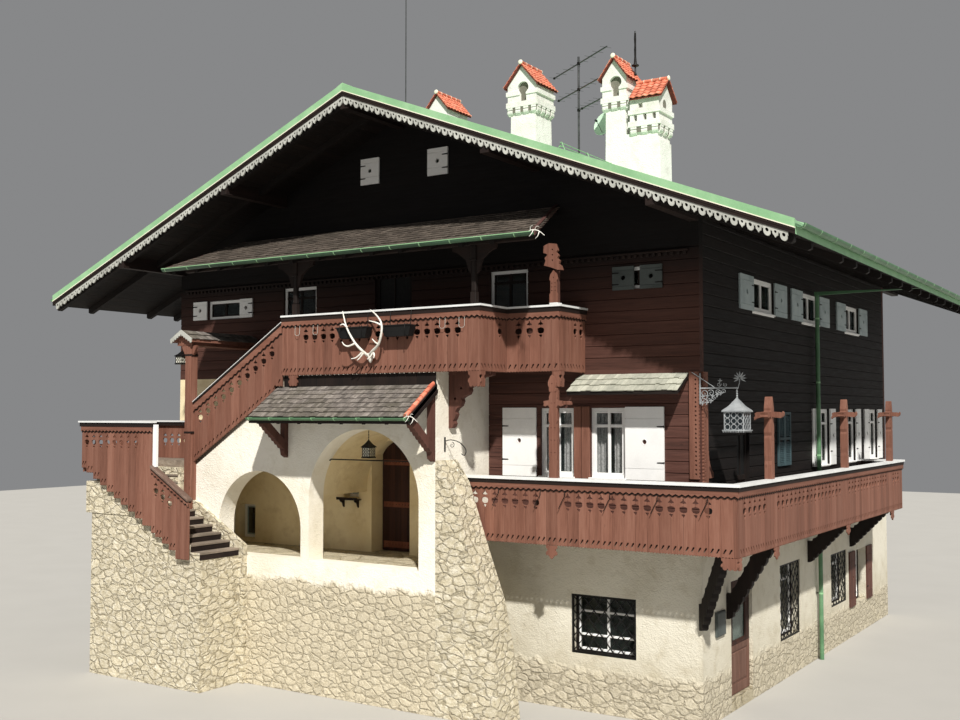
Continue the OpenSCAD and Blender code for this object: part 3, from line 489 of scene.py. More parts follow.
class Piece:
    """Collects faces in millimetres and turns them into one object."""

    def __init__(s):
        s.v, s.f, s.m, s.mats = [], [], [], []

    def add(s, vs, fs, mat):
        k = len(s.v)
        s.v.extend(tuple(p) for p in vs)
        if mat not in s.mats:
            s.mats.append(mat)
        i = s.mats.index(mat)
        for f in fs:
            s.f.append(tuple(q + k for q in f))
            s.m.append(i)

    def obox(s, o, u, v, w, mat, c=0.0):
        """Box from corner o along three full-length vectors, edges cut by c."""
        lu, lv, lw = u.length, v.length, w.length
        c = min(c, 0.3 * min(lu, lv, lw))
        if c <= 0:
            p = [o + a * u + b * v + d * w for a in (0, 1) for b in (0, 1)
                 for d in (0, 1)]
            s.add(p, [(0, 1, 3, 2), (4, 6, 7, 5), (0, 4, 5, 1), (2, 3, 7, 6),
                      (0, 2, 6, 4), (1, 5, 7, 3)], mat)
            return
        ax = [u, v, w]
        cut = [c / lu, c / lv, c / lw]
        idx, p = {}, []
        for i in (0, 1):
            for j in (0, 1):
                for k in (0, 1):
                    for a in range(3):
                        t = [i, j, k]
                        q = [t[b] if b == a else (cut[b] if t[b] == 0
                                                  else 1 - cut[b])
                             for b in range(3)]
                        idx[(i, j, k, a)] = len(p)
                        p.append(o + q[0] * u + q[1] * v + q[2] * w)
        f = []
        for a in range(3):
            b, d = (a + 1) % 3, (a + 2) % 3
            for e in (0, 1):
                ring = []
                for x, y in ((0, 0), (1, 0), (1, 1), (0, 1)):
                    t = [0, 0, 0]
                    t[a], t[b], t[d] = e, x, y
                    ring.append(idx[(t[0], t[1], t[2], a)])
                f.append(tuple(ring))
            for x in (0, 1):
                for y in (0, 1):
                    t0, t1 = [0, 0, 0], [0, 0, 0]
                    t0[b] = t1[b] = x
                    t0[d] = t1[d] = y
                    t1[a] = 1
                    f.append((idx[(*t0, b)], idx[(*t1, b)], idx[(*t1, d)],
                              idx[(*t0, d)]))
        for i in (0, 1):
            for j in (0, 1):
                for k in (0, 1):
                    f.append(tuple(idx[(i, j, k, a)] for a in range(3)))
        s.add(p, f, mat)

    def box(s, a, b, mat, c=0.0):
        a, b = Vector(a), Vector(b)
        d = b - a
        s.obox(a, V(d.x, 0, 0), V(0, d.y, 0), V(0, 0, d.z), mat, c)

    def prism(s, pts, o, u, v, w, mat, holes=(), side=None):
        """Flat outline (with holes) in the plane o, u, v, pushed along w."""
        rings = [list(pts)] + [list(h) for h in holes]
        flat = [q for r in rings for q in r]
        P = [o + q[0] * u + q[1] * v for q in flat]
        n = len(P)
        tris = tessellate_polygon([[Vector((q[0], q[1], 0.0)) for q in r]
                                   for r in rings])
        s.add(P + [p + w for p in P],
              [tuple(t) for t in tris] + [tuple(i + n for i in reversed(t))
                                          for t in tris], mat)
        k = len(s.v) - 2 * n
        i0 = 0
        if side is not None and side not in s.mats:
            s.mats.append(side)
        mi = s.mats.index(side if side is not None else mat)
        for r in rings:
            m = len(r)
            for i in range(m):
                a, b = i0 + i, i0 + (i + 1) % m
                s.f.append((k + a, k + b, k + b + n, k + a + n))
                s.m.append(mi)
            i0 += m

    def tube(s, path, r, mat, n=8):
        """Round bar along points; r is one radius or one for each point."""
        path = [Vector(p) for p in path]
        rr = r if isinstance(r, (list, tuple)) else [r] * len(path)
        d0 = (path[1] - path[0]).normalized()
        up = Z if abs(d0.z) < 0.9 else X
        side = d0.cross(up).normalized()
        vs, fs = [], []
        for i, p in enumerate(path):
            a = path[max(i - 1, 0)]
            b = path[min(i + 1, len(path) - 1)]
            d = (b - a).normalized()
            side = (side - d * side.dot(d)).normalized()
            o = d.cross(side)
            for k in range(n):
                t = 2 * math.pi * k / n
                vs.append(p + (side * math.cos(t) + o * math.sin(t)) * rr[i])
        for i in range(len(path) - 1):
            for k in range(n):
                q = (k + 1) % n
                fs.append((i * n + k, i * n + q, (i + 1) * n + q,
                           (i + 1) * n + k))
        fs.append(tuple(range(n - 1, -1, -1)))
        fs.append(tuple((len(path) - 1) * n + k for k in range(n)))
        s.add(vs, fs, mat)

    def lathe(s, prof, o, mat, n=16, axis=Z, u=X):
        """Turned body: prof is (radius, height) from bottom to top."""
        w = axis.cross(u)
        vs, fs = [], []
        for r, h in prof:
            for k in range(n):
                t = 2 * math.pi * (k + 0.5) / n
                vs.append(o + axis * h + (u * math.cos(t) + w * math.sin(t))
                          * max(r, 0.01))
        for i in range(len(prof) - 1):
            for k in range(n):
                q = (k + 1) % n
                fs.append((i * n + k, i * n + q, (i + 1) * n + q,
                           (i + 1) * n + k))
        fs.append(tuple(range(n - 1, -1, -1)))
        fs.append(tuple((len(prof) - 1) * n + k for k in range(n)))
        s.add(vs, fs, mat)

    def make(s, name, slot, replaces=(), body="house", smooth=0.0):
        me = bpy.data.meshes.new(name)
        me.from_pydata([(x * 0.001, y * 0.001, z * 0.001) for x, y, z in s.v],
                       [], s.f)
        for m in s.mats:
            me.materials.append(m)
        me.polygons.foreach_set("material_index", s.m)
        bm = bmesh.new()
        bm.from_mesh(me)
        bmesh.ops.recalc_face_normals(bm, faces=bm.faces)
        bm.to_mesh(me)
        bm.free()
        if smooth:
            me.shade_smooth()
            me.set_sharp_from_angle(angle=math.radians(smooth))
        me.update()
        ob = bpy.data.objects.new(name, me)
        bpy.context.scene.collection.objects.link(ob)
        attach(ob, body)
        if replaces:
            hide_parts(*replaces)
        return ob


def circle(cx, cy, r, n=12, a0=0.0):
    return [(cx + r * math.cos(a0 + 2 * math.pi * i / n),
             cy + r * math.sin(a0 + 2 * math.pi * i / n)) for i in range(n)]


def arc(cx, cy, r, a, b, n):
    return [(cx + r * math.cos(math.radians(a + (b - a) * i / n)),
             cy + r * math.sin(math.radians(a + (b - a) * i / n)))
            for i in range(n + 1)]


# ------------------------------------------------------- shared dimensions
HW, SLOPE_L, SLOPE_R, RIDGE, ROOF_T = 6840.0, 0.412, 0.394, 12375.0, 220.0
FRONT, BACK = -6320.0, 7580.0
EAVE = 9225.0
VF, VB = -8255.0, 9500.0


def top(x):
    return RIDGE - (SLOPE_L if x < 0 else SLOPE_R) * abs(x)


def under(x):
    return top(x) - ROOF_T


# -------------------------------------------------------- carved parapets
# Half outline of the cut-outs on a joint between two boards: half width and
# height below the top edge. Cross, pot and drop.
CUT = [[(0, -208), (14, -225), (14, -240), (38, -262), (56, -275), (56, -290),
        (20, -292), (14, -300), (0, -300)],
       [(0, -340), (26, -347), (60, -356), (75, -380), (75, -420), (58, -448),
        (26, -455), (0, -462)],
       [(0, -478), (30, -480), (36, -492), (12, -530), (0, -545)]]


def boards(P, o, d, length, n_out, zb, zt, pitch, t=30.0, mat=None, cuts=None,
           ticks=True, teeth=True, zc=None, phase=None, step=False,
           scale=1.0, plain=(), nocut=()):
    """A row of vertical boards from o along the unit vector d. zb and zt give
    the lower and upper edge at a distance; zc the height that the cut-outs
    hang from. n_out points outwards; boards lie behind the outer face.
    phase is the distance of one joint. Boards in nocut have no cut-outs at
    their joints, boards in plain no slits either."""
    mat = mat or BOARD
    cuts = CUT if cuts is None else cuts
    if phase is None:
        n = max(1, round(length / pitch))
        js = [i * length / n for i in range(n + 1)]
    else:
        js, u = [0.0], phase % pitch
        while u < length - 0.25 * pitch:
            if u > 0.25 * pitch:
                js.append(u)
            u += pitch
        js.append(length)
    zc = zc or zt
    gap = 2.5
    n = len(js) - 1
    nocut = set(nocut) | set(plain) | {q % n for q in nocut if q < 0}
    lean = -1 if n_out.x > 0.5 else 1
    for i in range(n):
        u0, u1 = js[i], js[i + 1]
        a, b = u0 + gap, u1 - gap
        zlow = (lambda q, z=zb(u0 * 0.75 + u1 * 0.25): z) if step else zb
        pts = []
        k = 4 if teeth else 1
        for j in range(k):
            p0 = a + (b - a) * j / k
            pts.append((p0, zlow(p0)))
            if teeth:
                pm = a + (b - a) * (j + 0.5) / k
                pts.append((pm, zlow(pm) + 18))
        pts.append((b, zlow(b)))
        right, left = [], []
        if cuts and i < n - 1 and i not in nocut and i + 1 not in nocut:
            for shape in reversed(cuts):
                for (hw, h) in reversed(shape):
                    right.append((u1 - max(hw * scale, gap),
                                  zc(u1) + h * scale))
        if cuts and i > 0 and i not in nocut and i - 1 not in nocut:
            for shape in cuts:
                for (hw, h) in shape:
                    left.append((u0 + max(hw * scale, gap),
                                 zc(u0) + h * scale))
        pts += [q for q in right if zlow(b) + 30 < q[1] < zt(b) - 5]
        pts.append((b, zt(b)))
        pts.append((a, zt(a)))
        pts += [q for q in left if zlow(a) + 30 < q[1] < zt(a) - 5]
        holes = []
        if ticks and i not in plain and u1 - u0 > 110:
            for f in ((0.27, 0.73) if u1 - u0 > 0.7 * pitch else (0.5,)):
                uc = u0 + f * (u1 - u0)
                z0 = zlow(uc) + 68
                hole = [(-34, 0), (-12, -4), (12, 34), (34, 62), (34, 84),
                        (8, 82), (-12, 50)]
                holes.append([(uc + lean * x, z0 + z) for x, z in hole])
        out = 0.0 if i % 2 == 0 else -2.0
        P.prism(pts, o + n_out * out, d, Z, -n_out * (t + out), mat, holes)


def fascia(P, o, d, length, n_out, zt, period, h=145.0, amp=17.0, t=34.0,
           mat=None):
    """Strip under a rail with a zigzag lower edge, and behind it a near-black
    strip showing 30 mm below the zigzag: painted shadow of the strip.
    """
    n = max(2, round(length / period))
    w = length / n
    pts = []
    for i in range(n):
        pts.append((i * w, zt(i * w) - h - amp))
        pts.append((i * w + w / 2, zt(i * w + w / 2) - h + amp))
    pts.append((length, zt(length) - h - amp))
    pts.append((length, zt(length)))
    pts.append((0, zt(0)))
    P.prism(pts, o + n_out * t, d, Z, -n_out * (t - 0.5), mat or BOARDX)
    # painted shadow: near-black strip just below the zigzag edge
    g = 30.0
    low = [(a, b - g) for a, b in pts[:-2]]
    P.prism(low + [(length, zt(length) - h * 0.5), (0, zt(0) - h * 0.5)],
            o + n_out * (t * 0.3), d, Z, -n_out * (t * 0.3 - 0.5),
            DARKX if abs(d.x) > abs(d.y) else DARKY)


def rail(P, pts, z0, z1, out=50.0, inn=110.0, dark=None, cap=CAP, ch=36.0,
         band=88.0):
    """Dark rail with a pale cap along a polyline in X and Y. Segments meet
    on their mitres; 'out' is to the right of the walking direction."""
    n = len(pts)
    L, Rr = [], []
    for i, p in enumerate(pts):
        p = Vector((p[0], p[1], 0))
        ds = []
        if i > 0:
            ds.append((Vector((*pts[i][:2], 0)) -
                       Vector((*pts[i - 1][:2], 0))).normalized())
        if i < n - 1:
            ds.append((Vector((*pts[i + 1][:2], 0)) -
                       Vector((*pts[i][:2], 0))).normalized())
        ns = [V(q.y, -q.x, 0) for q in ds]
        m = ns[0] if len(ns) == 1 else (ns[0] + ns[1]) / (1 + ns[0].dot(ns[1]))
        L.append(p + m * out)
        Rr.append(p - m * inn)

    def strip(zz0, zz1, grow, mats):
        for i in range(n - 1):
            d = (L[i + 1] - L[i]).normalized()
            m = V(d.y, -d.x, 0)
            q = [L[i] + m * grow, L[i + 1] + m * grow,
                 Rr[i + 1] - m * grow, Rr[i] - m * grow]
            if n > 2:
                for j, e in ((0, i), (1, i + 1)):
                    if 0 < e < n - 1:
                        w = (L[e] - Rr[e]).normalized()
                        q[j] = L[e] + w * (grow * 1.414)
                        q[3 - j] = Rr[e] - w * (grow * 1.414)
            f0 = [Vector((a.x, a.y, zz0)) for a in q]
            f1 = [Vector((a.x, a.y, zz1)) for a in q]
            P.add(f0 + f1, [(0, 1, 2, 3), (7, 6, 5, 4), (0, 4, 5, 1),
                            (1, 5, 6, 2), (2, 6, 7, 3), (3, 7, 4, 0)],
                  mats(d))
    # near-black band under the cap: dark timber, darkened further as painted
    # shade of the cap's shadow
    strip(z1 - ch - band, z1 - ch, -9.0,
          lambda d: dark or (DARKX if abs(d.x) > abs(d.y) else DARKY))
    strip(z1 - ch, z1, 16.0, lambda d: cap)


def drop_outline(w, h, tip=False):
    """Carved end of a board: bites at the sides, then three lobes or, with
    tip, two lobes and a stepped point."""
    bite = 0.13 * h
    p = [(0, 0)] + arc(0.0, -0.34 * h, bite, 90, -90, 6)
    if tip:
        p += arc(0.10 * w, -0.62 * h, 0.12 * w, 150, 290, 6)
        p += [(0.22 * w, -0.70 * h), (0.22 * w, -0.80 * h), (0.34 * w,
              -0.82 * h), (0.34 * w, -0.92 * h), (0.42 * w, -0.93 * h),
              (0.44 * w, -h)]
        out = p + [(w - x, y) for x, y in reversed(p)]
        return out
    p += arc(0.05 * w, -0.62 * h, 0.09 * w, 130, 250, 5)
    half = list(p)
    r = w * 0.86 / 6.0
    z = -h + r * 1.1
    x0 = 0.07 * w
    q = [(x0, z + r * 0.6)]
    for k in range(3):
        q += arc(x0 + r + 2 * r * k, z, r, 180, 360, 6)
    q += [(w - x0, z + r * 0.6)]
    pts = half + q + [(w - x, y) for x, y in reversed(half)]
    out = []
    for pt in pts:
        if not out or (abs(pt[0] - out[-1][0]) + abs(pt[1] - out[-1][1])) > 0.5:
            out.append(pt)
    return out


def drop(P, x0, x1, y0, y1, z0, z1, front=True, right=True, tip=False):
    """Boards round the lower end of a corner post, flush with the parapet."""
    h = z1 - z0
    if front:
        P.prism(drop_outline(x1 - x0, h, tip), V(x0, y0, z1), X, Z,
                V(0, 28, 0), BOARD)
    if right:
        P.prism(drop_outline(y1 - y0 - 30, h), V(x1, y0 + 30, z1), Y, Z,
                V(-28, 0, 0), BOARD)
    P.box((x0 + 0.2 * (x1 - x0), y0 + 28, z0 + 0.55 * h),
          (x1 - 0.2 * (x1 - x0), y1 - 10, z1), DARKZ, 4)


def dress(name, mat):
    ob = nodes[name]
    ob.data.materials.clear()
    ob.data.materials.append(mat)


# ------------------------------------------------ materials of CAD nodes
for names, mat in (
        (("base_wall_front", "base_wall_side_front", "base_wall_side_head",
          "base_wall_side_back", "base_wall_left", "base_wall_back"), BASE),
        (("porch_front_wall", "porch_side_walls", "entrance_plinth"), CREAM),
        (("entrance_wall_left", "entrance_wall_right", "entrance_wall_head",
          "porch_vault"), SMOOTH),
        (("entrance_floor", "basement_floor"), PAVE),
        (("corner_buttress", "stair_base"), RUBBLE),
        (("ground_floor", "upper_floor", "attic_floor",
          "upper_balcony_deck", "lower_balcony_deck"), DECK),
        (("log_wall_front", "log_wall_back"), LOGX),
        (("log_wall_right", "log_wall_left"), LOG_SIDE_PAINTED_SHADE),
        (("gable_wall_front",), GABLE_PAINTED_SHADE),
        (("corner_boards",), BOARD),
        (("roof_right", "roof_left"), GREEN),
        (("roof_purlins",), DARKY),
        (("verge_boards",), PALE),
        (("chimney_stacks",), CHIM),
        (("chimney_caps",), TILE),
        (("upper_balcony_parapet", "lower_balcony_parapet",
          "balcony_posts", "stair_parapets"), BOARD),
        (("canopy_roof", "window_pent_roof", "porch_roof"), SOFFITX),
        (("stair_gate",), BOARD),
        (("lower_flight",), RUBBLE),
        (("upper_flight",), TREAD),
        (("stair_landing",), TREAD),
        (("gutters",), GUTTER),
        (("balcony_brackets",), DARKZ),
        (("window_frames",), WHITE),
        (("window_glass",), GLASS),
        (("window_grilles", "wall_lanterns"), IRON),
        (("shutters",), WHITE),
        (("fixed_doors",), DOORD),
        (("entrance_door", "basement_door"), DOORP),
        (("roof_mast",), STEEL)):
    for nm in names:
        dress(nm, mat)

# ---------------------------------------------------------- upper balcony
UB_Y, UB_XA, UB_XB, UB_Y2 = -8300.0, 3330.0, 4490.0, -7360.0
UZ0, UZ1 = 6480.0, 7660.0
P = Piece()
flat = lambda z: (lambda u: z)
boards(P, V(-1587, UB_Y, 0), X, 4917, -Y, flat(UZ0), flat(UZ1), 235.8,
       phase=-701 + 1587, nocut=(1, -1))
boards(P, V(UB_XA, UB_Y + 32, 0), Y, 908, X, flat(UZ0), flat(UZ1), 235.8,
       nocut=(0, 1))
boards(P, V(UB_XA, UB_Y2, 0), X, 1160, -Y, flat(UZ0), flat(UZ1), 244,
       phase=271, nocut=(-1,))
boards(P, V(UB_XB, UB_Y2 + 32, 0), Y, 1008, X, flat(UZ0), flat(UZ1), 236,
       phase=135, nocut=(0, 1))
boards(P, V(-1436, -7240, 0), Y, 920, -X, flat(UZ0), flat(UZ1), 235.8)
for o, d, ln, n in ((V(-1587, UB_Y, 0), X, 4937, -Y),
                    (V(UB_XA, UB_Y - 20, 0), Y, 940, X),
                    (V(UB_XA + 20, UB_Y2, 0), X, 1160, -Y),
                    (V(UB_XB, UB_Y2 - 20, 0), Y, 1060, X)):
    fascia(P, o, d, ln, n, flat(UZ1), 117.9,
           mat=BOARDX if d is X else BOARDY)
# ledgers behind the boards
for zz in (6560, 7540):
    P.box((-1587, UB_Y + 32, zz), (UB_XA - 32, UB_Y + 92, zz + 80), DARKX, 4)
    P.box((UB_XA - 92, UB_Y + 92, zz), (UB_XA - 32, UB_Y2 + 92, zz + 80),
          DARKY, 4)
    P.box((UB_XA - 32, UB_Y2 + 32, zz), (UB_XB - 32, UB_Y2 + 92, zz + 80),
          DARKX, 4)
    P.box((UB_XB - 92, UB_Y2 + 92, zz), (UB_XB - 32, FRONT - 2, zz + 80),
          DARKY, 4)
rail(P, [(-1587, UB_Y), (UB_XA, UB_Y), (UB_XA, UB_Y2), (UB_XB, UB_Y2),
         (UB_XB, FRONT - 2)], 7660, 7730)
# hooks for flower boxes along the front
for x in (-1130, -640, 2520, 2960):
    P.tube([(x - 62, UB_Y - 40, 7500), (x - 62, UB_Y - 46, 7330),
            (x - 20, UB_Y - 60, 7300), (x + 40, UB_Y - 60, 7300),
            (x + 62, UB_Y - 46, 7330), (x + 62, UB_Y - 40, 7500)], 4, PALE, 6)
P.box((-1466, -7240, 7660), (-1350, FRONT - 2, 7716), DARKY, 4)
P.box((-1470, -7240, 7716), (-1346, FRONT - 2, 7730), CAP, 3)
P.make("upper_parapet", "dark_timber", ["upper_balcony_parapet"])

# ---------------------------------------------------------- lower balcony
LB_Y, LB_X, LB_E = -7400.0, 7920.0, 4700.0
LZ0, LZ1 = 3250.0, 4430.0
P = Piece()
boards(P, V(2270, LB_Y, 0), X, 5650, -Y, flat(LZ0), flat(LZ1), 226.7,
       phase=140.3, nocut=(9, -1, -2))
boards(P, V(LB_X, LB_Y + 32, 0), Y, LB_E - LB_Y - 64, X, flat(LZ0),
       flat(LZ1), 256.7, phase=64.3 + 256.7, nocut=(0, 7, 26, 42, -1))
boards(P, V(LB_X, LB_E, 0), -X, LB_X - 6842, Y, flat(LZ0), flat(LZ1), 235.8)
fascia(P, V(2270, LB_Y, 0), X, 5670, -Y, flat(LZ1), 117.9, mat=BOARDX)
fascia(P, V(LB_X, LB_Y - 20, 0), Y, LB_E - LB_Y + 40, X, flat(LZ1), 117.9,
       mat=BOARDY)
fascia(P, V(LB_X, LB_E, 0), -X, LB_X - 6842, Y, flat(LZ1), 117.9, mat=BOARDX)
for zz in (3330, 4310):
    P.box((2270, LB_Y + 32, zz), (LB_X - 32, LB_Y + 92, zz + 80), DARKX, 4)
    P.box((LB_X - 92, LB_Y + 92, zz), (LB_X - 32, LB_E - 32, zz + 80),
          DARKY, 4)
rail(P, [(2270, LB_Y), (LB_X, LB_Y), (LB_X, LB_E), (6842, LB_E)], 4430, 4500,
     ch=50.0, band=76.0)
# hooks for flower boxes
for x in (3200, 4120, 4640, 5560, 6480, 7400):
    P.tube([(x, LB_Y - 42, 4270), (x + 6, LB_Y - 50, 4180),
            (x - 30, LB_Y - 60, 4120), (x - 120, LB_Y - 70, 3940)], 7, IRON, 6)
P.make("lower_parapet", "dark_timber", ["lower_balcony_parapet"])


# ------------------------------------------------------------------ posts
def pawn(P, o, u, w, z0, z1, arm_z, reach, depth, mat=BOARD):
    """Carved post of the lower rail: shoulders, cross arms, turned cap."""
    h = w / 2
    r = reach * 1.4
    half = [(h, z0), (h, z0 + 260), (h * 0.86, z0 + 330), (h, z0 + 420),
            (h, arm_z - 400), (h * 0.8, arm_z - 350), (h * 1.04, arm_z - 290),
            (h * 1.0, arm_z - 120), (h * 0.82, arm_z - 50),
            (h * 1.1, arm_z - 10), (h * 1.3, arm_z), (r - 40, arm_z - 24),
            (r, arm_z - 6), (r - 14, arm_z + 30), (r, arm_z + 74),
            (r - 46, arm_z + 84), (h * 1.1, arm_z + 88),
            (h * 0.92, arm_z + 110), (h * 0.96, arm_z + 150),
            (h * 0.62, arm_z + 235), (h * 0.2, z1 - 20)]
    pts = half + [(0, z1)] + [(-x, z) for x, z in reversed(half)]
    holes = []
    z = z0 + 470
    while z < arm_z - 380:
        for s in (-1, 1):
            holes.append(circle(s * h * 0.45, z, 11, 6))
        z += 230
    for s in (-1, 1):
        holes.append(circle(s * h * 0.4, arm_z + 40, 10, 6))
    P.prism(pts, o, u, Z, u.cross(Z) * -depth, mat, holes)


P = Piece()
drop(P, -1392, -1150, -8312, -8262, 6255, 6482, right=False)
drop(P, 3086, 3362, -8312, -8150, 6187, 6482)
drop(P, 4345, 4522, -7372, -7220, 6187, 6482)
for x, y, z, w in ((-1240, -8270, 8830, 120), (3200, -8270, 8830, 120)):
    h = w / 2
    P.box((x - h, y - h, 7730), (x + h, y + h, 7960), DARKZ, 8)
    P.box((x - h * .8, y - h * .8, 7960), (x + h * .8, y + h * .8, z - 260),
          DARKZ, 14)
    P.box((x - h, y - h, z - 260), (x + h, y + h, z), DARKZ, 8)
    P.box((x - h - 14, y - h - 14, z - 290), (x + h + 14, y + h + 14,
                                              z - 262), DARKZ, 6)
# right-hand post: a pierced board with a pointed head, and the saddle on it
zz = [(-85, 7740), (85, 7740), (85, 7920), (66, 7950), (66, 8170), (85, 8200),
      (70, 8290), (0, 8376), (-70, 8290), (-85, 8200), (-66, 8170),
      (-66, 7950), (-85, 7920)]
P.prism(zz, V(4400, -7415, 0), X, Z, V(0, 34, 0), BOARD,
        [circle(k * 34, z, 11, 8) for z in (7990, 8060, 8130, 8235)
         for k in ((-1, 1) if z < 8200 else (0,))])
P.box((4345, -7380, 7730), (4455, -7250, 8376), CONSOLE, 8)
P.box((4312, -7420, 7730), (4488, -7240, 7764), CAP, 5)
P.prism([(4195, 8836), (4250, 8862), (4319, 8884), (4400, 8872), (4467, 8863),
         (4500, 8740), (4470, 8700), (4520, 8640), (4490, 8590), (4545, 8540),
         (4520, 8480), (4572, 8440), (4599, 8363), (4485, 8375), (4350, 8430),
         (4207, 8470), (4240, 8560), (4220, 8610), (4282, 8666), (4240, 8700),
         (4195, 8706)], V(0, -7430, 0), X, Z, V(0, 60, 0), BOARD,
        [circle(4385, z, 16, 8) for z in (8560, 8660, 8760)])
# brackets at the head of the posts
for x in (-1240, 3200):
    for s in (-1, 1):
        q = [(0, 8828), (0, 8300), (60, 8360), (120, 8560), (300, 8700),
             (420, 8740), (430, 8828)]
        P.prism([(s * a, b) for a, b in q], V(x + s * 60, -8300, 0), X, Z,
                V(0, 60, 0), DARKX)
P.box((-4500, -8330, 8830), (4500, -8212, 8925), DARKX, 10)
# pointed head of the front post of the lower balcony
P.prism([(4309, 6100), (4300, 6150), (4309, 6174), (4286, 6215), (4282, 6272),
         (4300, 6318), (4330, 6380), (4362, 6417), (4402, 6380), (4436, 6318),
         (4453, 6270), (4450, 6215), (4437, 6174), (4446, 6150),
         (4440, 6100)], V(0, -7428, 0), X, Z, V(0, 44, 0), BOARD,
        [circle(4368, 6250, 12, 8)])
# lower balcony
drop(P, 4224, 4451, -7412, -7350, 3005, 3252, right=False, tip=True)
drop(P, 7628, 7932, -7412, -7230, 3045, 3252)
pawn(P, V(4386, -7426, 0), X, 176, 4500, 6120, 5850, 146, 50)
P.box((4316, -7375, 4500), (4456, -7290, 6170), BOARD, 6)
P.box((4346, -7290, 5856), (4426, -6720, 5930), BOARD, 8)
for y in (-5378, -501, 3606):
    P.prism(drop_outline(250, 222, True), V(7930, y - 125, 3252), Y, Z,
            V(-28, 0, 0), BOARD)
    P.box((7868, y - 70, 3150), (7898, y + 70, 3252), DARKZ, 4)
for y in (-5509, -450, 3700):
    pawn(P, V(7775, y, 0), Y, 150, 4500, 6004, 5640, 200, -140)
    arm = [(7850, 5716), (8040, 5724), (8088, 5700), (8110, 5736),
           (8130, 5700), (8120, 5650), (8070, 5612), (7850, 5640),
           (7650, 5612), (7600, 5590), (7580, 5570), (7576, 5620),
           (7598, 5650), (7590, 5700), (7640, 5722)]
    P.prism(arm, V(0, y - 42, 0), X, Z, V(0, 84, 0), BOARD)
P.make("balcony_post_boards", "dark_timber", ["balcony_posts"])

# ----------------------------------------------------------------- braces
P = Piece()


def brace(P, o, u, run, rise, t):
    """Strut from the wall out to a balcony with a notched outer edge and a
    waved inner one."""
    a, b = V(120, 0, 40), V(run - 60, 0, rise - 190)
    pts = [(0, 0), (60, 6), (120, 40)]
    n = 9
    for i in range(n):
        for f, dd in ((0.12, 0), (0.5, 34), (0.62, 34), (0.62, 0)):
            q = a + (b - a) * ((i + f) / n)
            e = (b - a).normalized()
            pts.append((q.x - e.z * dd, q.z + e.x * dd))
    pts += [(run - 60, rise - 190), (run, rise - 60), (run, rise),
            (run - 330, rise), (run - 350, rise - 90)]
    a, b = V(run - 350, 0, rise - 90), V(90, 0, 480)
    for i in range(5):
        for f, dd in ((0.3, 0), (0.55, 26), (0.8, 0)):
            q = a + (b - a) * ((i + f) / 5)
            e = (b - a).normalized()
            pts.append((q.x + e.z * dd, q.z - e.x * dd))
    pts += [(90, 480), (0, 480)]
    w = u.cross(Z)
    P.prism(pts, o - w * (t / 2), u, Z, w * t, DARKZ)
    c = 10.0
    P.prism([(x, z) for x, z in ((run - 322, rise - 40), (run - 12, rise - 40),
                                 (run - 12, rise - 3), (run - 322, rise - 3))],
            o - w * (t / 2 + c), u, Z, w * (t + 2 * c), DARKZ)


ZB = 3399.0
brace(P, V(HW, -5050, 1800), X, 1024, ZB - 1800, 130)
for y in (120, 3690):
    brace(P, V(HW, y, 2300), X, 1024, ZB - 2300, 130)
dg = V(1, -1, 0).normalized()
brace(P, V(HW, FRONT, 1780) + dg * 2, dg, 1193, ZB - 1780, 130)
# carved console under the upper balcony
con = [(2272, 5411), (2330, 5411), (2372, 5440), (2400, 5500), (2372, 5550),
       (2408, 5600), (2440, 5680), (2420, 5730), (2470, 5800), (2540, 5840),
       (2580, 5930), (2560, 5980), (2640, 6030), (2720, 6060), (2760, 6130),
       (2750, 6190), (2850, 6220), (2940, 6250), (2990, 6320), (3050, 6380),
       (3140, 6392), (3270, 6420), (3270, 6530), (2272, 6530)]
P.prism(con, V(0, -7770, 0), X, Z, V(0, 130, 0), CONSOLE,
        [circle(2420, 5980, 26, 10), circle(2560, 6180, 26, 10),
         circle(2740, 6330, 26, 10)])
P.prism([(2272, 6440), (3262, 6440), (3262, 6526), (2272, 6526)],
        V(0, -7782, 0), X, Z, V(0, 154, 0), CONSOLE)
P.make("balcony_braces", "dark_timber", ["balcony_brackets"])

# ---------------------------------------------------------- verge boards
P = Piece()


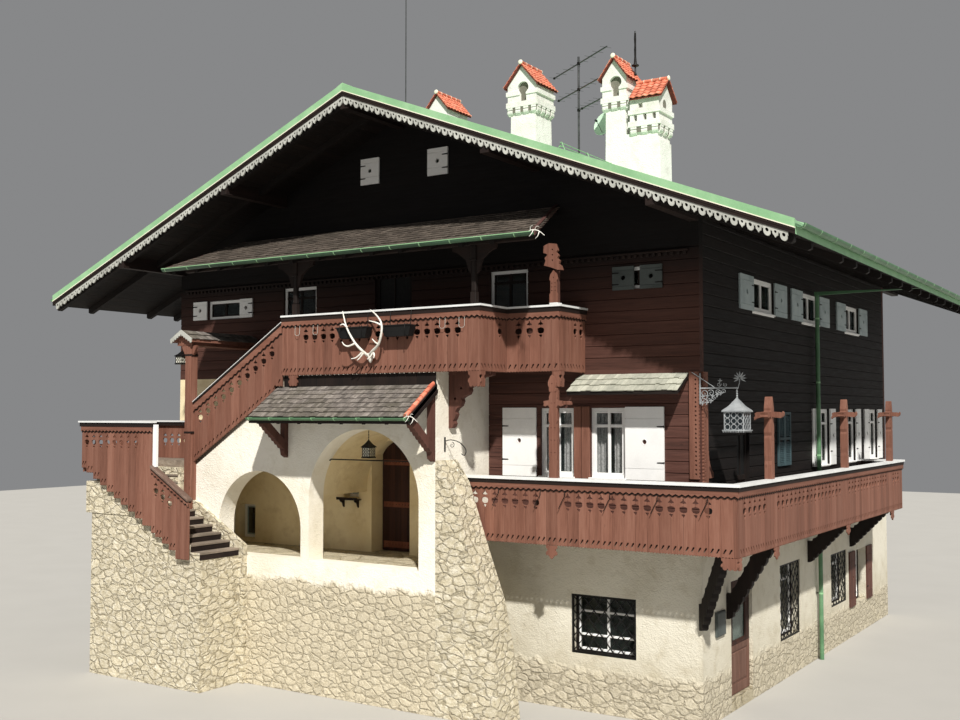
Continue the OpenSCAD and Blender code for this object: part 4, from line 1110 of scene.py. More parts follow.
def verge_side(P, s, y, n):
    """One slope of a verge: sheet edge, cream strip, fascia, fretwork.
    y is the wall-side face, n the outward sign along Y."""
    def q(x0, x1, a, b, d0, d1, mat, c=0):
        pts = [(s * x0, top(s * x0) + b), (s * x1, top(s * x1) + b),
               (s * x1, top(s * x1) + a), (s * x0, top(s * x0) + a)]
        P.prism(pts, V(0, y + n * d0, 0), X, Z, V(0, n * (d1 - d0), 0), mat)
    q(0, EAVE, 25, -112, 0, 54, GREENTRIM)
    q(0, EAVE, -112, -130, 0, 60, CREAMTRIM)
    q(0, EAVE, -130, -172, 0, 50, DARKX)
    q(0, EAVE, -172, -180, 0, 38, DARKX)
    q(0, EAVE, -180, -226, 0, 46, DARKX)
    # fretwork in boards of 1 m: round lobes and pointed ones in turn
    pitch = 136.0
    n_l = int((EAVE - 8) / pitch)
    per = 8
    k = 0
    while k < n_l:
        m = min(per, n_l - k)
        x0, x1 = 6 + k * pitch + 1, 6 + (k + m) * pitch - 1
        low, holes = [], []
        for j in range(m):
            a = 6 + (k + j) * pitch
            big = (k + j) % 2 == 0
            r = 58 if big else 46
            c = a + pitch / 2
            zc = -322 if big else -318
            holes.append([(px, pz) for px, pz in circle(
                c, -292 if big else -284, 30 if big else 22, 10)])
            low.append((a + (1 if j == 0 else 4), -292))
            low.append((a + 14, -268))
            low.append((c - r, zc + 8))
            if big:
                low += [(c + r * math.cos(t), zc + r * 1.15 * math.sin(t))
                        for t in [math.pi * (1 + i / 7) for i in range(8)]]
            else:
                low += [(c - r * .9, zc - 14), (c - r * .35, zc - 36),
                        (c, zc - 62), (c + r * .35, zc - 36),
                        (c + r * .9, zc - 14)]
            low.append((c + r, zc + 8))
            low.append((a + pitch - 14, -268))
            low.append((a + pitch - (1 if j == m - 1 else 4), -292))
        pts = [(x0, -206)] + low + [(x1, -206)]
        pts = [(s * px, top(s * px) + pz) for px, pz in pts]
        hs = [[(s * px, top(s * px) + pz) for px, pz in h] for h in holes]
        P.prism(pts, V(0, y + n * 8, 0), X, Z, V(0, n * 26, 0), PALE, hs)
        k += m


for s in (-1, 1):
    verge_side(P, s, VF, -1)
    verge_side(P, s, VB, 1)
P.make("verge_fretwork", "pale_wood", ["verge_boards"])

# ------------------------------------------------- roof: soffit and seams
P = Piece()


def sheared(P, x0, x1, y0, y1, a, b, mat):
    """Board along Y that follows the slope between x0 and x1."""
    pts = [(x0, under(x0) + b), (x1, under(x1) + b), (x1, under(x1) + a),
           (x0, under(x0) + a)]
    P.prism(pts, V(0, y0, 0), X, Z, V(0, y1 - y0, 0), mat)


for s in (-1, 1):
    x = 4.0
    while x < EAVE - 30:
        w = R.uniform(150, 185)
        x1 = min(x + w, EAVE - 8)
        spans = [(VF + 4, VB - 4)] if x > HW else [(VF + 4, FRONT - 4),
                                                   (BACK + 4, VB - 4)]
        if x < HW < x1:
            x1 = HW - 2
        for y0, y1 in spans:
            sheared(P, s * x, s * (x1 - 4), y0, y1, -19 - R.uniform(0, 3), -1,
                    SOFFIT)
        x = x1 if x1 != HW - 2 else HW + 45
    # rafters of the front and back overhang and under the eaves
    for y0, y1, xa, xb in ([(y, y + 110, 0 if (y < FRONT or y > BACK) else HW,
                             EAVE - 40) for y in
                            range(-8200, 9480, 930)]):
        xa = xa + 50 if xa else 100
        y1 = min(y1, VB - 10)
        if y0 < FRONT < y1 or y0 < BACK < y1:
            continue
        pts = [(s * xa, under(s * xa) - 20), (s * xb, under(s * xb) - 20),
               (s * xb, under(s * xb) - 120), (s * (xb - 60),
                                               under(s * xb) - 150),
               (s * xa, under(s * xa) - 170)]
        P.prism(pts, V(0, y0, 0), X, Z, V(0, y1 - y0, 0), SOFFITX)
P.make("soffit_boards", "dark_timber")

P = Piece()
for s in (-1, 1):
    y = VF + 30
    while y < VB - 20:
        pts = [(s * 60, top(s * 60)), (s * (EAVE - 4), top(s * (EAVE - 4))),
               (s * (EAVE - 4), top(s * (EAVE - 4)) + 10),
               (s * (EAVE - 60), top(s * (EAVE - 60)) + 26),
               (s * 60, top(s * 60) + 26)]
        P.prism(pts, V(0, y - 6, 0), X, Z, V(0, 12, 0), GREEN)
        y += 586.0
# ridge cover
P.prism([(-190, top(-190) + 2), (-150, top(-150) + 34), (0, RIDGE + 44),
         (150, top(150) + 34), (190, top(190) + 2), (0, RIDGE - 20)],
        V(0, VF - 50, 0), X, Z, V(0, VB - VF + 100, 0), GREENTRIM)
P.make("roof_seams", "roof_sheet")

# snow guards: brackets and two rails along each slope
P = Piece()
for s in (-1, 1):
    x0 = s * 4900.0
    for i in range(18):
        y = -8000 + i * 1000
        for e, h in ((-1, 165), (1, 165)):
            a = V(x0 + e * 80, y, top(x0 + e * 80) + 4)
            b = V(x0, y, top(x0) + h)
            dd = b - a
            P.obox(a - V(0, 4, 0), dd, V(0, 8, 0), V(16, 0, 0), GREENTRIM, 2)
        P.obox(V(x0 - 38, y - 5, top(x0) + 74), V(80, 0, 0), V(0, 10, 0),
               V(0, 0, 14), GREENTRIM, 2)
    for h in (88, 150):
        P.tube([(x0, -8040, top(x0) + h), (x0, 500, top(x0) + h),
                (x0, 9040, top(x0) + h)], 7, GREENTRIM, 8)
P.make("snow_guards", "gutter_metal")


# --------------------------------------------------------------- shingles
def shingles(P, o, a, la, up, ls, nrm, courses, mat, w=(80, 130), t=17,
             rag=13, limit=None, start=None, seed=1):
    """Courses of split shingles from the eave upwards. limit and start give
    the ends of a course at a distance up the slope."""
    r = random.Random(seed)
    e = ls / courses
    for k in range(courses):
        s0 = k * e
        u = start(s0) if start else 0.0
        end = limit(s0) if limit else la
        while u < end - 12:
            ww = min(r.uniform(*w), end - u)
            j = r.uniform(-rag, rag)
            low = max(s0 - 22 + j, -26)
            hi = min(s0 + e * 1.45, ls)
            tt = t * r.uniform(0.75, 1.2)
            base = 6 if k == 0 else t * 1.15
            sk = r.uniform(-5, 5)
            p = []
            for uu, sl in ((u + 1.5, low), (u + ww - 1.5, low + sk),
                           (u + ww - 1.5, hi), (u + 1.5, hi)):
                f = (sl - low) / max(hi - low, 1)
                lo = base * (1 - f) + 1
                hi_t = lo + tt * (1 - 0.65 * f)
                q = o + a * uu + up * sl
                p.append((q + nrm * lo, q + nrm * hi_t))
            vs = [q[0] for q in p] + [q[1] for q in p]
            P.add(vs, [(3, 2, 1, 0), (4, 5, 6, 7), (0, 1, 5, 4),
                       (1, 2, 6, 5), (2, 3, 7, 6), (3, 0, 4, 7)], mat)
            u += ww


def slope_axes(y0, z0, y1, z1):
    up = V(0, y1 - y0, z1 - z0)
    ls = up.length
    up = up / ls
    nrm = V(0, -up.z, up.y)
    return up, ls, nrm


P = Piece()
up, ls, nrm = slope_axes(-8760, 8890, FRONT - 4, 9789)
shingles(P, V(-4639, -8760, 8890), X, 9399, up, ls, nrm, 11, SHINGLE2,
         limit=lambda s: 9399 - 914 * s / ls, seed=3)
P.make("canopy_shingles", "shingles")

P = Piece()
# slanted barge board at the right end of the canopy, in purple-brown made
# darker as painted shade
a0, a1 = V(4770, -8775, 8905), V(3852, FRONT - 4, 9806)
dd = a1 - a0
P.obox(a0 - V(0, 0, 92), dd, V(26, 10, 0), V(0, 0, 102), PURPLE, 4)
P.obox(a0 + V(-30, -8, 12), dd, V(64, 14, 0), V(0, 0, 20), PURPLE, 4)
P.obox(V(-4662, -8775, 8790), V(0, 2451, 901), V(24, 0, 0), V(0, 0, 120),
       PURPLE, 4)
# rafters and boards under the canopy
for i in range(13):
    x = -4450 + i * 690
    P.prism([(-8740, 8740), (FRONT - 4, 9630), (FRONT - 4, 9700),
             (-8740, 8806)], V(x, 0, 0), Y, Z, V(90, 0, 0), SOFFIT)
P.make("canopy_timbers", "dark_timber")

P = Piece()
up, ls, nrm = slope_axes(-9083, 5632, -8214, 6246)
shingles(P, V(-1746, -9083, 5632), X, 3920, up, ls, nrm, 7, SHINGLE,
         w=(70, 120), seed=5)
P.make("porch_shingles", "shingles")
P = Piece()
# clay tiles on the right verge, each over the one below
for k in range(7):
    a = V(2235, -9083, 5632) + nrm * 34 + up * (k * ls / 7 - 18)
    b = a + up * (ls / 7 * 1.28) - nrm * 14
    P.tube([a, a + (b - a) * .5, b], [48, 45, 41], TILE, 14)
P.make("porch_verge_tiles", "clay_tile")
P = Piece()
P.prism([(-9083, 5632), (-8210, 6247), (-8210, 6157), (-9083, 5542)],
        V(-1746, 0, 0), Y, Z, V(4059, 0, 0), SOFFITX)
for x in (-1600, 2150):
    P.prism([(-8210, 4778), (-8300, 4830), (-8322, 4900), (-8322, 6070),
             (-8210, 6150)], V(x, 0, 0), Y, Z, V(120, 0, 0), CONSOLE)
    dg = [(-8300, 4830), (-8330, 4960)]
    for i in range(7):
        f = (i + 0.5) / 7
        dg.append((-8330 - 630 * (i + 0.2) / 7, 4960 + 520 * (i + 0.2) / 7))
        dg.append((-8330 - 630 * f - 14, 4960 + 520 * f - 18))
    dg += [(-8960, 5480), (-8960, 5600), (-8880, 5606), (-8318, 5150),
           (-8300, 5100)]
    P.prism(dg, V(x - 6, 0, 0), Y, Z, V(132, 0, 0), CONSOLE)
    P.prism([(-8960, 5540), (-8960, 5622), (-8212, 6150), (-8212, 6060)],
            V(x, 0, 0), Y, Z, V(120, 0, 0), DARKY)
P.make("porch_roof_frame", "dark_timber", ["porch_roof"])
P = Piece()
# painted shade: dark boards in front of the wall above the porch roof, where
# the balcony's shadow falls
for i in range(17):
    P.box((-1580 + i * 228, -8236 - i % 2, 6249), (-1356 + i * 228, -8212,
                                                   6476), DARKZ, 3)
P.make("porch_wall_head_painted_shade", "dark_timber")
P = Piece()
P.obox(V(2287, -9083, 5532) + nrm * 12, V(0, 869, 614), V(26, 0, 0),
       V(0, 0, 110), DARKY, 4)
P.obox(V(-1772, -9083, 5532) + nrm * 12, V(0, 869, 614), V(26, 0, 0),
       V(0, 0, 110), DARKY, 4)
for i in range(8):
    x = -1560 + i * 545
    P.prism([(-9060, 5486), (-8214, 6080), (-8214, 6155), (-9060, 5558)],
            V(x, 0, 0), Y, Z, V(80, 0, 0), DARKY)
P.box((-1746, -9098, 5500), (2313, -9084, 5610), DARKX, 3)
P.make("porch_roof_timbers", "dark_timber")

P = Piece()
up, ls, nrm = slope_axes(-6860, 6115, FRONT - 4, 6439)
shingles(P, V(4380, -6860, 6115), X, 2250, up, ls, nrm, 3, PENT,
         w=(80, 140), rag=20, seed=7)
P.make("pent_shingles", "shingles")

P = Piece()
for s in (-1, 1):
    up = V(-s * 330, 0, 193).normalized()
    ls = V(330, 0, 193).length
    nrm = V(s * up.z, 0, abs(up.x))
    o = V(-4430 + s * 330, -8480, 7340)
    shingles(P, o, Y, 2155, up, ls, nrm, 2, SHINGLE, w=(80, 120), seed=9 + s)
P.make("gate_shingles", "shingles")

# --------------------------------------------------------------- chimneys
CS = [[-2830, -2130, -1440, -420, 13000, 13840, 14210, 300],
      [175, 1075, -2240, -1340, 13110, 13790, 14270, 77],
      [2790, 3490, -2240, -1490, 12830, 13570, 13990, 138],
      [3495, 4300, -2240, -1440, 12170, 12990, 13370, 0]]


def pantiles(P, o, a, la, up, ls, nrm, courses, mat, seed=1):
    """Wavy clay tiles: each course is a row of hooked tiles."""
    r = random.Random(seed)
    n = max(2, round(la / 150.0))
    w = la / n
    e = ls / courses
    for k in range(courses):
        for i in range(n):
            s0 = k * e - 14 + r.uniform(-3, 3)
            s1 = min(k * e + e * 1.18, ls)
            u0 = i * w
            m = 6
            lo, hi = [], []
            for sl, base in ((s0, 26), (s1, 6)):
                for j in range(m + 1):
                    f = j / m
                    hgt = 13 * math.sin(f * 2 * math.pi) + base
                    q = o + a * (u0 + 2 + f * (w - 4)) + up * sl
                    lo.append(q + nrm * (hgt - 9))
                    hi.append(q + nrm * (hgt + 4))
            vs = lo + hi
            N = 2 * (m + 1)
            fs = []
            for j in range(m):
                b, t = j, j + m + 1
                fs.append((b, b + 1, t + 1, t))
                fs.append((N + b, N + t, N + t + 1, N + b + 1))
                fs.append((b, N + b, N + b + 1, b + 1))
                fs.append((t, t + 1, N + t + 1, N + t))
            fs.append((0, m + 1, N + m + 1, N))
            fs.append((m, N + m, N + 2 * m + 1, 2 * m + 1))
            P.add(vs, fs, mat)


PT, PH = Piece(), Piece()
for ci, c in enumerate(CS):
    ay = ci < 3
    m, n = (c[0] + c[1]) / 2, (c[2] + c[3]) / 2
    hw, hd = (c[1] - c[0]) / 2, (c[3] - c[2]) / 2
    r = (hw - 40) if ay else (hd - 20)
    q = (c[6] - c[5] + 1) / r
    o = r + 65
    t = 44
    pts = [(-r, c[5]), (-o, c[5] - q * 65), (-o, c[5] - q * 65 + t),
           (0, c[6] + t + 1), (o, c[5] - q * 65 + t), (o, c[5] - q * 65),
           (r, c[5]), (0, c[6] + 1)]
    if ay:
        y0, y1 = c[2] - 60, c[3] + 60
        PT.prism([(m + a, b) for a, b in pts], V(0, y0 + 6, 0), X, Z,
                 V(0, y1 - y0 - 12, 0), JAMB)
        ends = (y0, y1)
        A, L0 = Y, y1 - y0
    else:
        x0, x1 = c[0] + 46, c[1] + 60
        PT.prism([(n + a, b) for a, b in pts], V(x0 + 6, 0, 0), Y, Z,
                 V(x1 - x0 - 12, 0, 0), JAMB)
        ends = (x0, x1)
        A, L0 = X, x1 - x0
    for s in (-1, 1):
        side = X if ay else Y
        eave = V(0, 0, c[5] - q * 65 + t) + side * ((m if ay else n) + s * o)
        ridge = V(0, 0, c[6] + t + 1) + side * (m if ay else n)
        eave += A * ends[0]
        ridge += A * ends[0]
        up = ridge - eave
        ls = up.length
        up = up / ls
        nrm = V(0, 0, 1) - up * up.z
        nrm.normalize()
        pantiles(PT, eave, A, L0, up, ls - 10, nrm, 5, TILE, seed=ci * 2 + s)
    # ridge tiles bedded in mortar
    k = max(3, round(L0 / 230))
    for i in range(k):
        a = V(0, 0, c[6] + t + 26) + A * (ends[0] + 4 + i * (L0 - 8) / k)
        a += (X * m if ay else Y * n)
        b = a + A * ((L0 - 8) / k - 6)
        PT.tube([a, a + (b - a) * .12, b - (b - a) * .2, b],
                [50, 46, 44, 48], TILE, 12)
        PT.tube([b - (b - a) * .04, b + A * 5], [52, 52], CREAMTRIM, 12)
        if i == 0 and ay:
            PT.lathe([(20, 0), (52, 8), (60, 26), (52, 44), (30, 52)],
                     a + Y * 30, CREAMTRIM, 14, -Y, X)
        if i == k - 1 and not ay:
            PT.lathe([(20, 0), (52, 8), (60, 26), (52, 44), (30, 52)],
                     b - X * 30, CREAMTRIM, 14, X, Y)
    # corbels round the shaft under the lower band
    zb, zt = c[4] - 62, c[4] + 138
    for face in range(4):
        out = (X, -X, Y, -Y)[face]
        run = Y if face < 2 else X
        ctr = V(m, n, 0)
        half = hw if face < 2 else hd
        ln = (hd if face < 2 else hw)
        cnt = max(3, round(2 * ln / 235))
        body = half - (40 if face < 2 else 20)
        lb = ln - (20 if face < 2 else 40)
        # painted shade: grey plate on the shaft behind the corbels
        PH.obox(ctr + out * (body + 1) - run * lb + Z * (c[4] + 3),
                run * (2 * lb), out * 4, Z * 130, RECESS_PAINTED_SHADE)
        for i in range(cnt):
            u = -ln + (i + 0.5) * 2 * ln / cnt
            cw = min(150.0, 1.24 * ln / cnt)
            base = ctr + out * (half - 112) + run * (u - cw / 2)
            prof = [(0, zb), (40, zb + 4), (74, zb + 22), (96, zb + 52),
                    (106, zb + 92), (104, zb + 122), (90, zb + 140),
                    (108, zb + 150), (108, zt), (0, zt)]
            PH.prism(prof, base, out, Z, run * cw, CHIM)
    if not ay:
        # painted shade: grey oval plate on the gable end, standing for the
        # shaded inside of the oval hole
        PH.prism([(n - 60 + 92 * math.cos(k * math.pi / 10),
                   c[4] + 641 + 118 * math.sin(k * math.pi / 10))
                  for k in range(20)], V(m + hw - 40 + 1, 0, 0), Y, Z,
                 V(4, 0, 0), RECESS_PAINTED_SHADE)
        PH.box((3396, -2176, 11940), (3614, -1554, 12172), CHIM)
    # painted shade: grey back of the keyhole, standing for the shade inside the
    # hole
    if ay:
        kz, x0 = c[5] - c[7], m + 30
        key = [(x0 + 88, c[4] + 276)] + arc(x0, kz, 150, -52, 232, 20) + [
            (x0 - 88, c[4] + 276)]
        PH.prism(key, V(0, c[2] + 92, 0), X, Z, V(0, 12, 0), RECESS_PAINTED_SHADE)
PT.make("chimney_tiles", "clay_tile", ["chimney_caps"])
PH.make("chimney_corbels", "plaster")

# aerial, dish and pole
P = Piece()
bd = V(math.cos(math.radians(-34.1)), math.sin(math.radians(-34.1)), 0)
bn = V(-bd.y, bd.x, 0)
for z, s0, s1, n_e, le in ((14290, -1380, 1420, 8, 150),
                           (13640, -1130, 980, 7, 170),
                           (13128, 120, 1150, 5, 190)):
    mid = V(1820, -1500, z + 12)
    for i in range(n_e):
        q = mid + bd * (s0 + 70 + i * (s1 - s0 - 140) / (n_e - 1))
        P.tube([q - bn * le, q + bn * le], 4, STEEL, 6)
    P.obox(V(1788, -1532, z - 26), V(64, 0, 0), V(0, 64, 0), V(0, 0, 76),
           IRON, 8)
    P.lathe([(20, 0), (28, 14), (28, 40), (20, 54)], mid + bd * (s0 + 60)
            - Z * 27, IRON, 10)
P.lathe([(60, 0), (60, 20), (34, 60), (30, 130)], V(1820, -1500,
                                                  top(1820) + 6), STEEL, 12)
P.lathe([(46, 0), (46, 14), (20, 40), (16, 90)], V(636, -7000, top(636) + 8),
        STEEL, 12)
P.make("aerial_elements", "iron")

P = Piece()
cen = V(2420, -1290, 12760)
ax = V(-0.25, -0.93, 0.26).normalized()
uu = ax.cross(Z).normalized()
prof = [(k * 38.0, -0.00042 * (k * 38.0) ** 2 - 4) for k in range(1, 9)]
prof = [(4, -4)] + prof
rim = prof[-1]
back_p = [(a, b + 14) for a, b in reversed(prof)]
P.lathe([(a, -b) for a, b in prof] + [(rim[0] + 6, -rim[1] - 4)]
        + [(a, -b) for a, b in back_p], cen, DISHM, 28, ax, uu)
P.tube([cen - ax * 10, cen - ax * 120, V(2440, -1180, 12500),
        V(2440, -1180, top(2440) + 4)], 24, STEEL, 8)
P.tube([cen - Z * 300 + ax * 40, cen + ax * 300 - Z * 60], 7, STEEL, 6)
P.lathe([(24, 0), (30, 30), (20, 70)], cen + ax * 290 - Z * 60, STEEL, 12, ax,
        uu)
P.make("roof_dish", "iron")

P = Piece()
# collar, cone and knotted tip of the pole behind the third chimney
P.lathe([(82, 0), (88, 12), (84, 26), (44, 40), (34, 90), (24, 240)],
        V(3440, -1700, 13908), IRON, 16)
P.tube([(3440, -1700, 14140), (3438, -1700, 14300), (3441, -1700, 14430),
        (3438, -1700, 14560), (3440, -1700, 14700)], [24, 27, 22, 28, 22],
       IRON, 10)
P.lathe([(30, 0), (34, 20), (20, 60)], V(3440, -1700, 13690), IRON, 12)
P.make("chimney_pole", "iron")

# ---------------------------------------------------------------- windows
WF = [[3490, 4244, 4465, 5800], [4602, 5331, 4465, 5800]]
GS = [[-1990, -1165, 4570, 5720], [1000, 1950, 4465, 5800],
      [3400, 4350, 4465, 5800], [5700, 6650, 4465, 5800]]
US = [[-3450, -2110, 7800, 8480], [-140, 1200, 7800, 8480],
      [3500, 4840, 7800, 8480]]
UF = [[-5888, -4796, 7981, 8430], [5120, 6100, 8060, 8480],
      [-3400, -2400, 7700, 8600], [2300, 3200, 7700, 8600]]
BW = [4162, 5532, 1084, 2214]
NICHE, LOWW = [-1544, -1127, 3838, 4330], [-4770, -4243, 2760, 3555]
SB = [[-1928, -526, 818, 2441], [1930, 3320, 985, 2268],
      [4060, 5190, 780, 2150]]
BACKW = [[x, x + 900, z0, z1] for z0, z1 in ((4465, 5800), (7500, 8600))
         for x in (-4650, -1750, 850, 3750)]
BACKB = [[-4700, -3700, 1100, 2200], [-500, 500, 1100, 2200],
         [3700, 4700, 1100, 2200]]
LEFTB = [[y, y + 1000, 1100, 2200] for y in (-2400, 1200, 4800)]


def casement(P, w, plane, along, out, sill=0, mat=WHITE, bars=None):
    """Casements, mullion, transom and sill in a frame. plane is the glass
    centre along the outward direction."""
    fr = 65.0
    n = out
    a0, a1, z0, z1 = w[0] + fr, w[1] - fr, w[2] + fr, w[3] - fr
    W, H = a1 - a0, z1 - z0

    def bar(u0, u1, v0, v1, d0=-19, d1=24, c=3):
        o = along * u0 + Z * v0 + n * (plane + d0)
        P.obox(o, along * (u1 - u0), Z * (v1 - v0), n * (d1 - d0), mat, c)
    mids = [(a0, a1)] if W < 480 else [(a0, (a0 + a1) / 2),
                                      ((a0 + a1) / 2, a1)]
    bars = bars or ((0.77,) if H > 700 else ())
    zs = [z0] + [z0 + f * H for f in bars] + [z1]
    for u0, u1 in mids:
        for v0, v1 in zip(zs, zs[1:]):
            s = 30 if len(zs) < 4 else 22
            bar(u0 + 2, u1 - 2, v0 + 2, v0 + s, -16, 18)
            bar(u0 + 2, u1 - 2, v1 - s, v1 - 2, -16, 18)
            bar(u0 + 2, u0 + s, v0 + s, v1 - s, -16, 18)
            bar(u1 - s, u1 - 2, v0 + s, v1 - s, -16, 18)
    if len(mids) == 2:
        c = (a0 + a1) / 2
        bar(c - 24, c + 24, z0, z1, -19, 28)
    for zt in zs[1:-1]:
        bar(a0, a1, zt - 18, zt + 18, -19, 30)
    if sill:
        bar(w[0] - 30, w[1] + 30, w[2] - 34, w[2] + 2, -30, sill, 5)
        bar(w[0] - 18, w[1] + 18, w[2] - 58, w[2] - 34, -30, sill - 26, 4)


P = Piece()
for w in WF:
    casement(P, w, 6240, X, -Y, 140)
for w in UF[:2]:
    casement(P, w, 6230, X, -Y, 0, DARKX)
for w in UF[2:]:
    casement(P, w, 6230, X, -Y, 120, DARKX)
for w in (BW, NICHE, LOWW):
    casement(P, w, 6070 if w is BW else 6090, X,
             -Y, 0, BLUEWHITE if w is not BW else WHITE,
             (0.27, 0.72) if w is BW else None)
for w in BACKW:
    casement(P, w, 7500, X, Y, 110)
for w in BACKB:
    casement(P, w, 7350, X, Y, 0)
for w in GS[1:] + US:
    casement(P, w, 6760, Y, X, 110)
casement(P, GS[0], 6760, Y, X, 0)
for w in GS + US:
    casement(P, w, 6760, Y, -X, 110)
for w in SB:
    casement(P, w, 6590, Y, X, 0)
for w in LEFTB:
    casement(P, w, 6610, Y, -X, 0)
P.make("casements", "window_glass")

# dark timber frames of the basement windows
P = Piece()
for a0, a1, z0, z1, pl, al, ou in (
        [(*BW, 6100, X, -Y)] + [(*w, 6620, Y, X) for w in SB]):
    def edge(u0, u1, v0, v1):
        P.obox(al * u0 + Z * v0 + ou * (pl - 20), al * (u1 - u0),
               Z * (v1 - v0), ou * 46, DARKZ, 5)
    edge(a0, a0 + 58, z0, z1)
    edge(a1 - 58, a1, z0, z1)
    edge(a0 + 58, a1 - 58, z1 - 58, z1)
    edge(a0 + 58, a1 - 58, z0, z0 + 44)
P.make("basement_frames", "dark_timber")


# --------------------------------------------------------------- shutters
def shutter(P, w, plane, along, out, hinge=1, mat=WHITE, hole=True,
            lines=(0.16, 0.845)):
    """Panel in three parts with a peep hole and strap hinges. hinge is the
    side with the straps: -1 lower, 1 upper coordinate, 0 both."""
    a0, a1, z0, z1 = w
    H, W = z1 - z0, a1 - a0
    hz = z0 + 0.52 * H
    hr = min(46.0, 0.09 * min(W, H) + 14)
    hc = (a0 + a1) / 2
    hs = [circle(hc, hz, hr, 16)] if hole else []
    P.prism([(a0 + 3, z0 + 3), (a1 - 3, z0 + 3), (a1 - 3, z1 - 3),
             (a0 + 3, z1 - 3)], out * (plane + 1), along, Z, out * 20, mat,
            hs)
    zs = [z0] + [z1 - (z1 - z0) * f for f in reversed(lines)] + [z1]
    for i in range(len(zs) - 1):
        v0, v1 = zs[i] + (3 if i else 0), zs[i + 1] - (3 if i <
                                                      len(zs) - 2 else 0)
        h = hs if v0 < hz - hr and v1 > hz + hr else []
        P.prism([(a0 + 4, v0), (a1 - 4, v0), (a1, v0 + 4), (a1, v1 - 4),
                 (a1 - 4, v1), (a0 + 4, v1), (a0, v1 - 4), (a0, v0 + 4)],
                out * (plane + 21), along, Z, out * 18, mat, h)
    if hole:
        P.prism(circle(hc, hz, hr + 16, 16), out * (plane + 39), along, Z,
                out * 4, mat, [circle(hc, hz, hr, 16)])
    for f in (0.27, 0.76):
        z = z1 - f * H
        for s in ((-1, 1) if hinge == 0 else (hinge,)):
            e = a1 if s > 0 else a0
            L = min(130.0, 0.3 * W)
            q = [(e - s * 2, z - 13), (e - s * L, z - 10), (e - s * (L + 16),
                 z), (e - s * L, z + 10), (e - s * 2, z + 13)]
            P.prism(q, out * (plane + 39), along, Z, out * 6, IRON)
            P.lathe([(9, 0), (9, 34)], along * e + Z * (z - 17)
                    + out * (plane + 40), IRON, 8)


P = Piece()
shutter(P, (2623, 3403, 4450, 5810), 6320, X, -Y, -1)
shutter(P, (5347, 6139, 4450, 5820), 6320, X, -Y, 1)
for w, h in (((5097, 5549, 8044, 8491), -1), ((5670, 6123, 8044, 8491), 1),
             ((-6369, -5900, 7981, 8430), -1), ((-4784, -4375, 7981, 8430), 1)):
    # right-hand pair in grey: painted shade
    shutter(P, w, 6320, X, -Y, h, GREY_PAINTED_SHADE if w[0] > 0 else WHITE)
shutter(P, (-1091, -579, 10760, 11340), 6320, X, -Y, -1, WHITE,
        lines=(0.17, 0.72))
shutter(P, (735, 1257, 10760, 11340), 6320, X, -Y, 1, WHITE,
        lines=(0.17, 0.72))


def leaves(P, w, l, plane, along, out, mat=WHITE):
    shutter(P, (w[0] - l - 8, w[0] - 8, w[2] - 15, w[3] + 10), plane, along,
            out, 1, mat)
    shutter(P, (w[1] + 8, w[1] + 8 + l, w[2] - 15, w[3] + 10), plane, along,
            out, -1, mat)


for w in GS[1:]:
    leaves(P, w, 460, 6840, Y, X)
for w in US:
    leaves(P, w, 800, 6840, Y, X, BLUEWHITE)
    leaves(P, w, 800, 6840, Y, -X, BLUEWHITE)
leaves(P, SB[2], 540, 6840, Y, X, CONSOLE)
for w in GS:
    leaves(P, w, 460, 6840, Y, -X)
for w in BACKW:
    leaves(P, w, 430, 7580, X, Y)
# louvred pair, closed
for a0, a1 in ((-1999, -1582), (-1574, -1155)):
    z0, z1 = 4563, 5728
    for q0, q1, v0, v1 in ((a0, a0 + 55, z0, z1), (a1 - 55, a1, z0, z1),
                           (a0 + 55, a1 - 55, z1 - 60, z1),
                           (a0 + 55, a1 - 55, z0, z0 + 70),
                           (a0 + 55, a1 - 55, 5120, 5180)):
        P.box((6841, q0, v0), (6884, q1, v1), LOUVRE, 4)
    z = z0 + 78
    while z < z1 - 90:
        if not 5080 < z < 5182:
            P.prism([(6846, z + 34), (6852, z + 40), (6880, z + 6),
                     (6874, z)], V(0, a0 + 52, 0), X, Z,
                    V(0, a1 - a0 - 104, 0), LOUVRE)
        z += 40
    P.box((6842, a0 + 50, z0 + 60), (6845, a1 - 50, z1 - 55), DARKZ)
P.make("shutter_leaves", "pale_wood", ["shutters"])

# ---------------------------------------------------------- corner boards
P = Piece()


def drilled(o, u, w, z0, z1, nrm, t, dots, wave):
    """Upright board with a column of drilled holes and one waved edge."""
    pts = [(0, z0), (w, z0)]
    n = max(2, int((z1 - z0) / 62))
    for i in range(n):
        za = z0 + (z1 - z0) * i / n
        zb_ = z0 + (z1 - z0) * (i + 0.5) / n
        if wave > 0:
            pts += [(w, za + 3), (w - 12, zb_)]
    pts += [(w, z1), (0, z1)]
    if wave < 0:
        for i in range(n, 0, -1):
            pts += [(12, z0 + (z1 - z0) * (i - 0.5) / n),
                    (0, z0 + (z1 - z0) * (i - 1) / n + 3)]
    holes = [circle(dots, z0 + 90 + k * 82, 19, 8)
             for k in range(int((z1 - z0 - 120) / 82))]
    P.prism(pts, o + nrm * t, u, Z, -nrm * (t - 0.5), BOARD, holes)


drilled(V(6640, FRONT, 0), X, 190, 4500, 6460, -Y, 40, 125, 1)
drilled(V(HW, FRONT + 70, 0), Y, 215, 3552, 6460, X, 40, 60, -1)
for a, b in ((4250, 4415), (4425, 4590)):
    P.box((a, FRONT - 40, 4440), (b, FRONT - 0.5, 5830), BOARD, 4)
P.make("corner_board_carvings", "dark_timber", ["corner_boards"])
P = Piece()
P.prism([(FRONT + 286, 5160), (FRONT + 300, 4990), (FRONT + 330, 4860),
         (FRONT + 372, 4760), (FRONT + 440, 4670), (FRONT + 540, 4600),
         (FRONT + 560, 4502), (FRONT + 286, 4502)], V(HW + 0.5, 0, 0), Y, Z,
        V(34, 0, 0), BOARD, [circle(FRONT + 310 + 4 * k * k, 4990 - k * 88,
                                    12, 8) for k in range(4)])
P.make("corner_board_foot", "dark_timber")

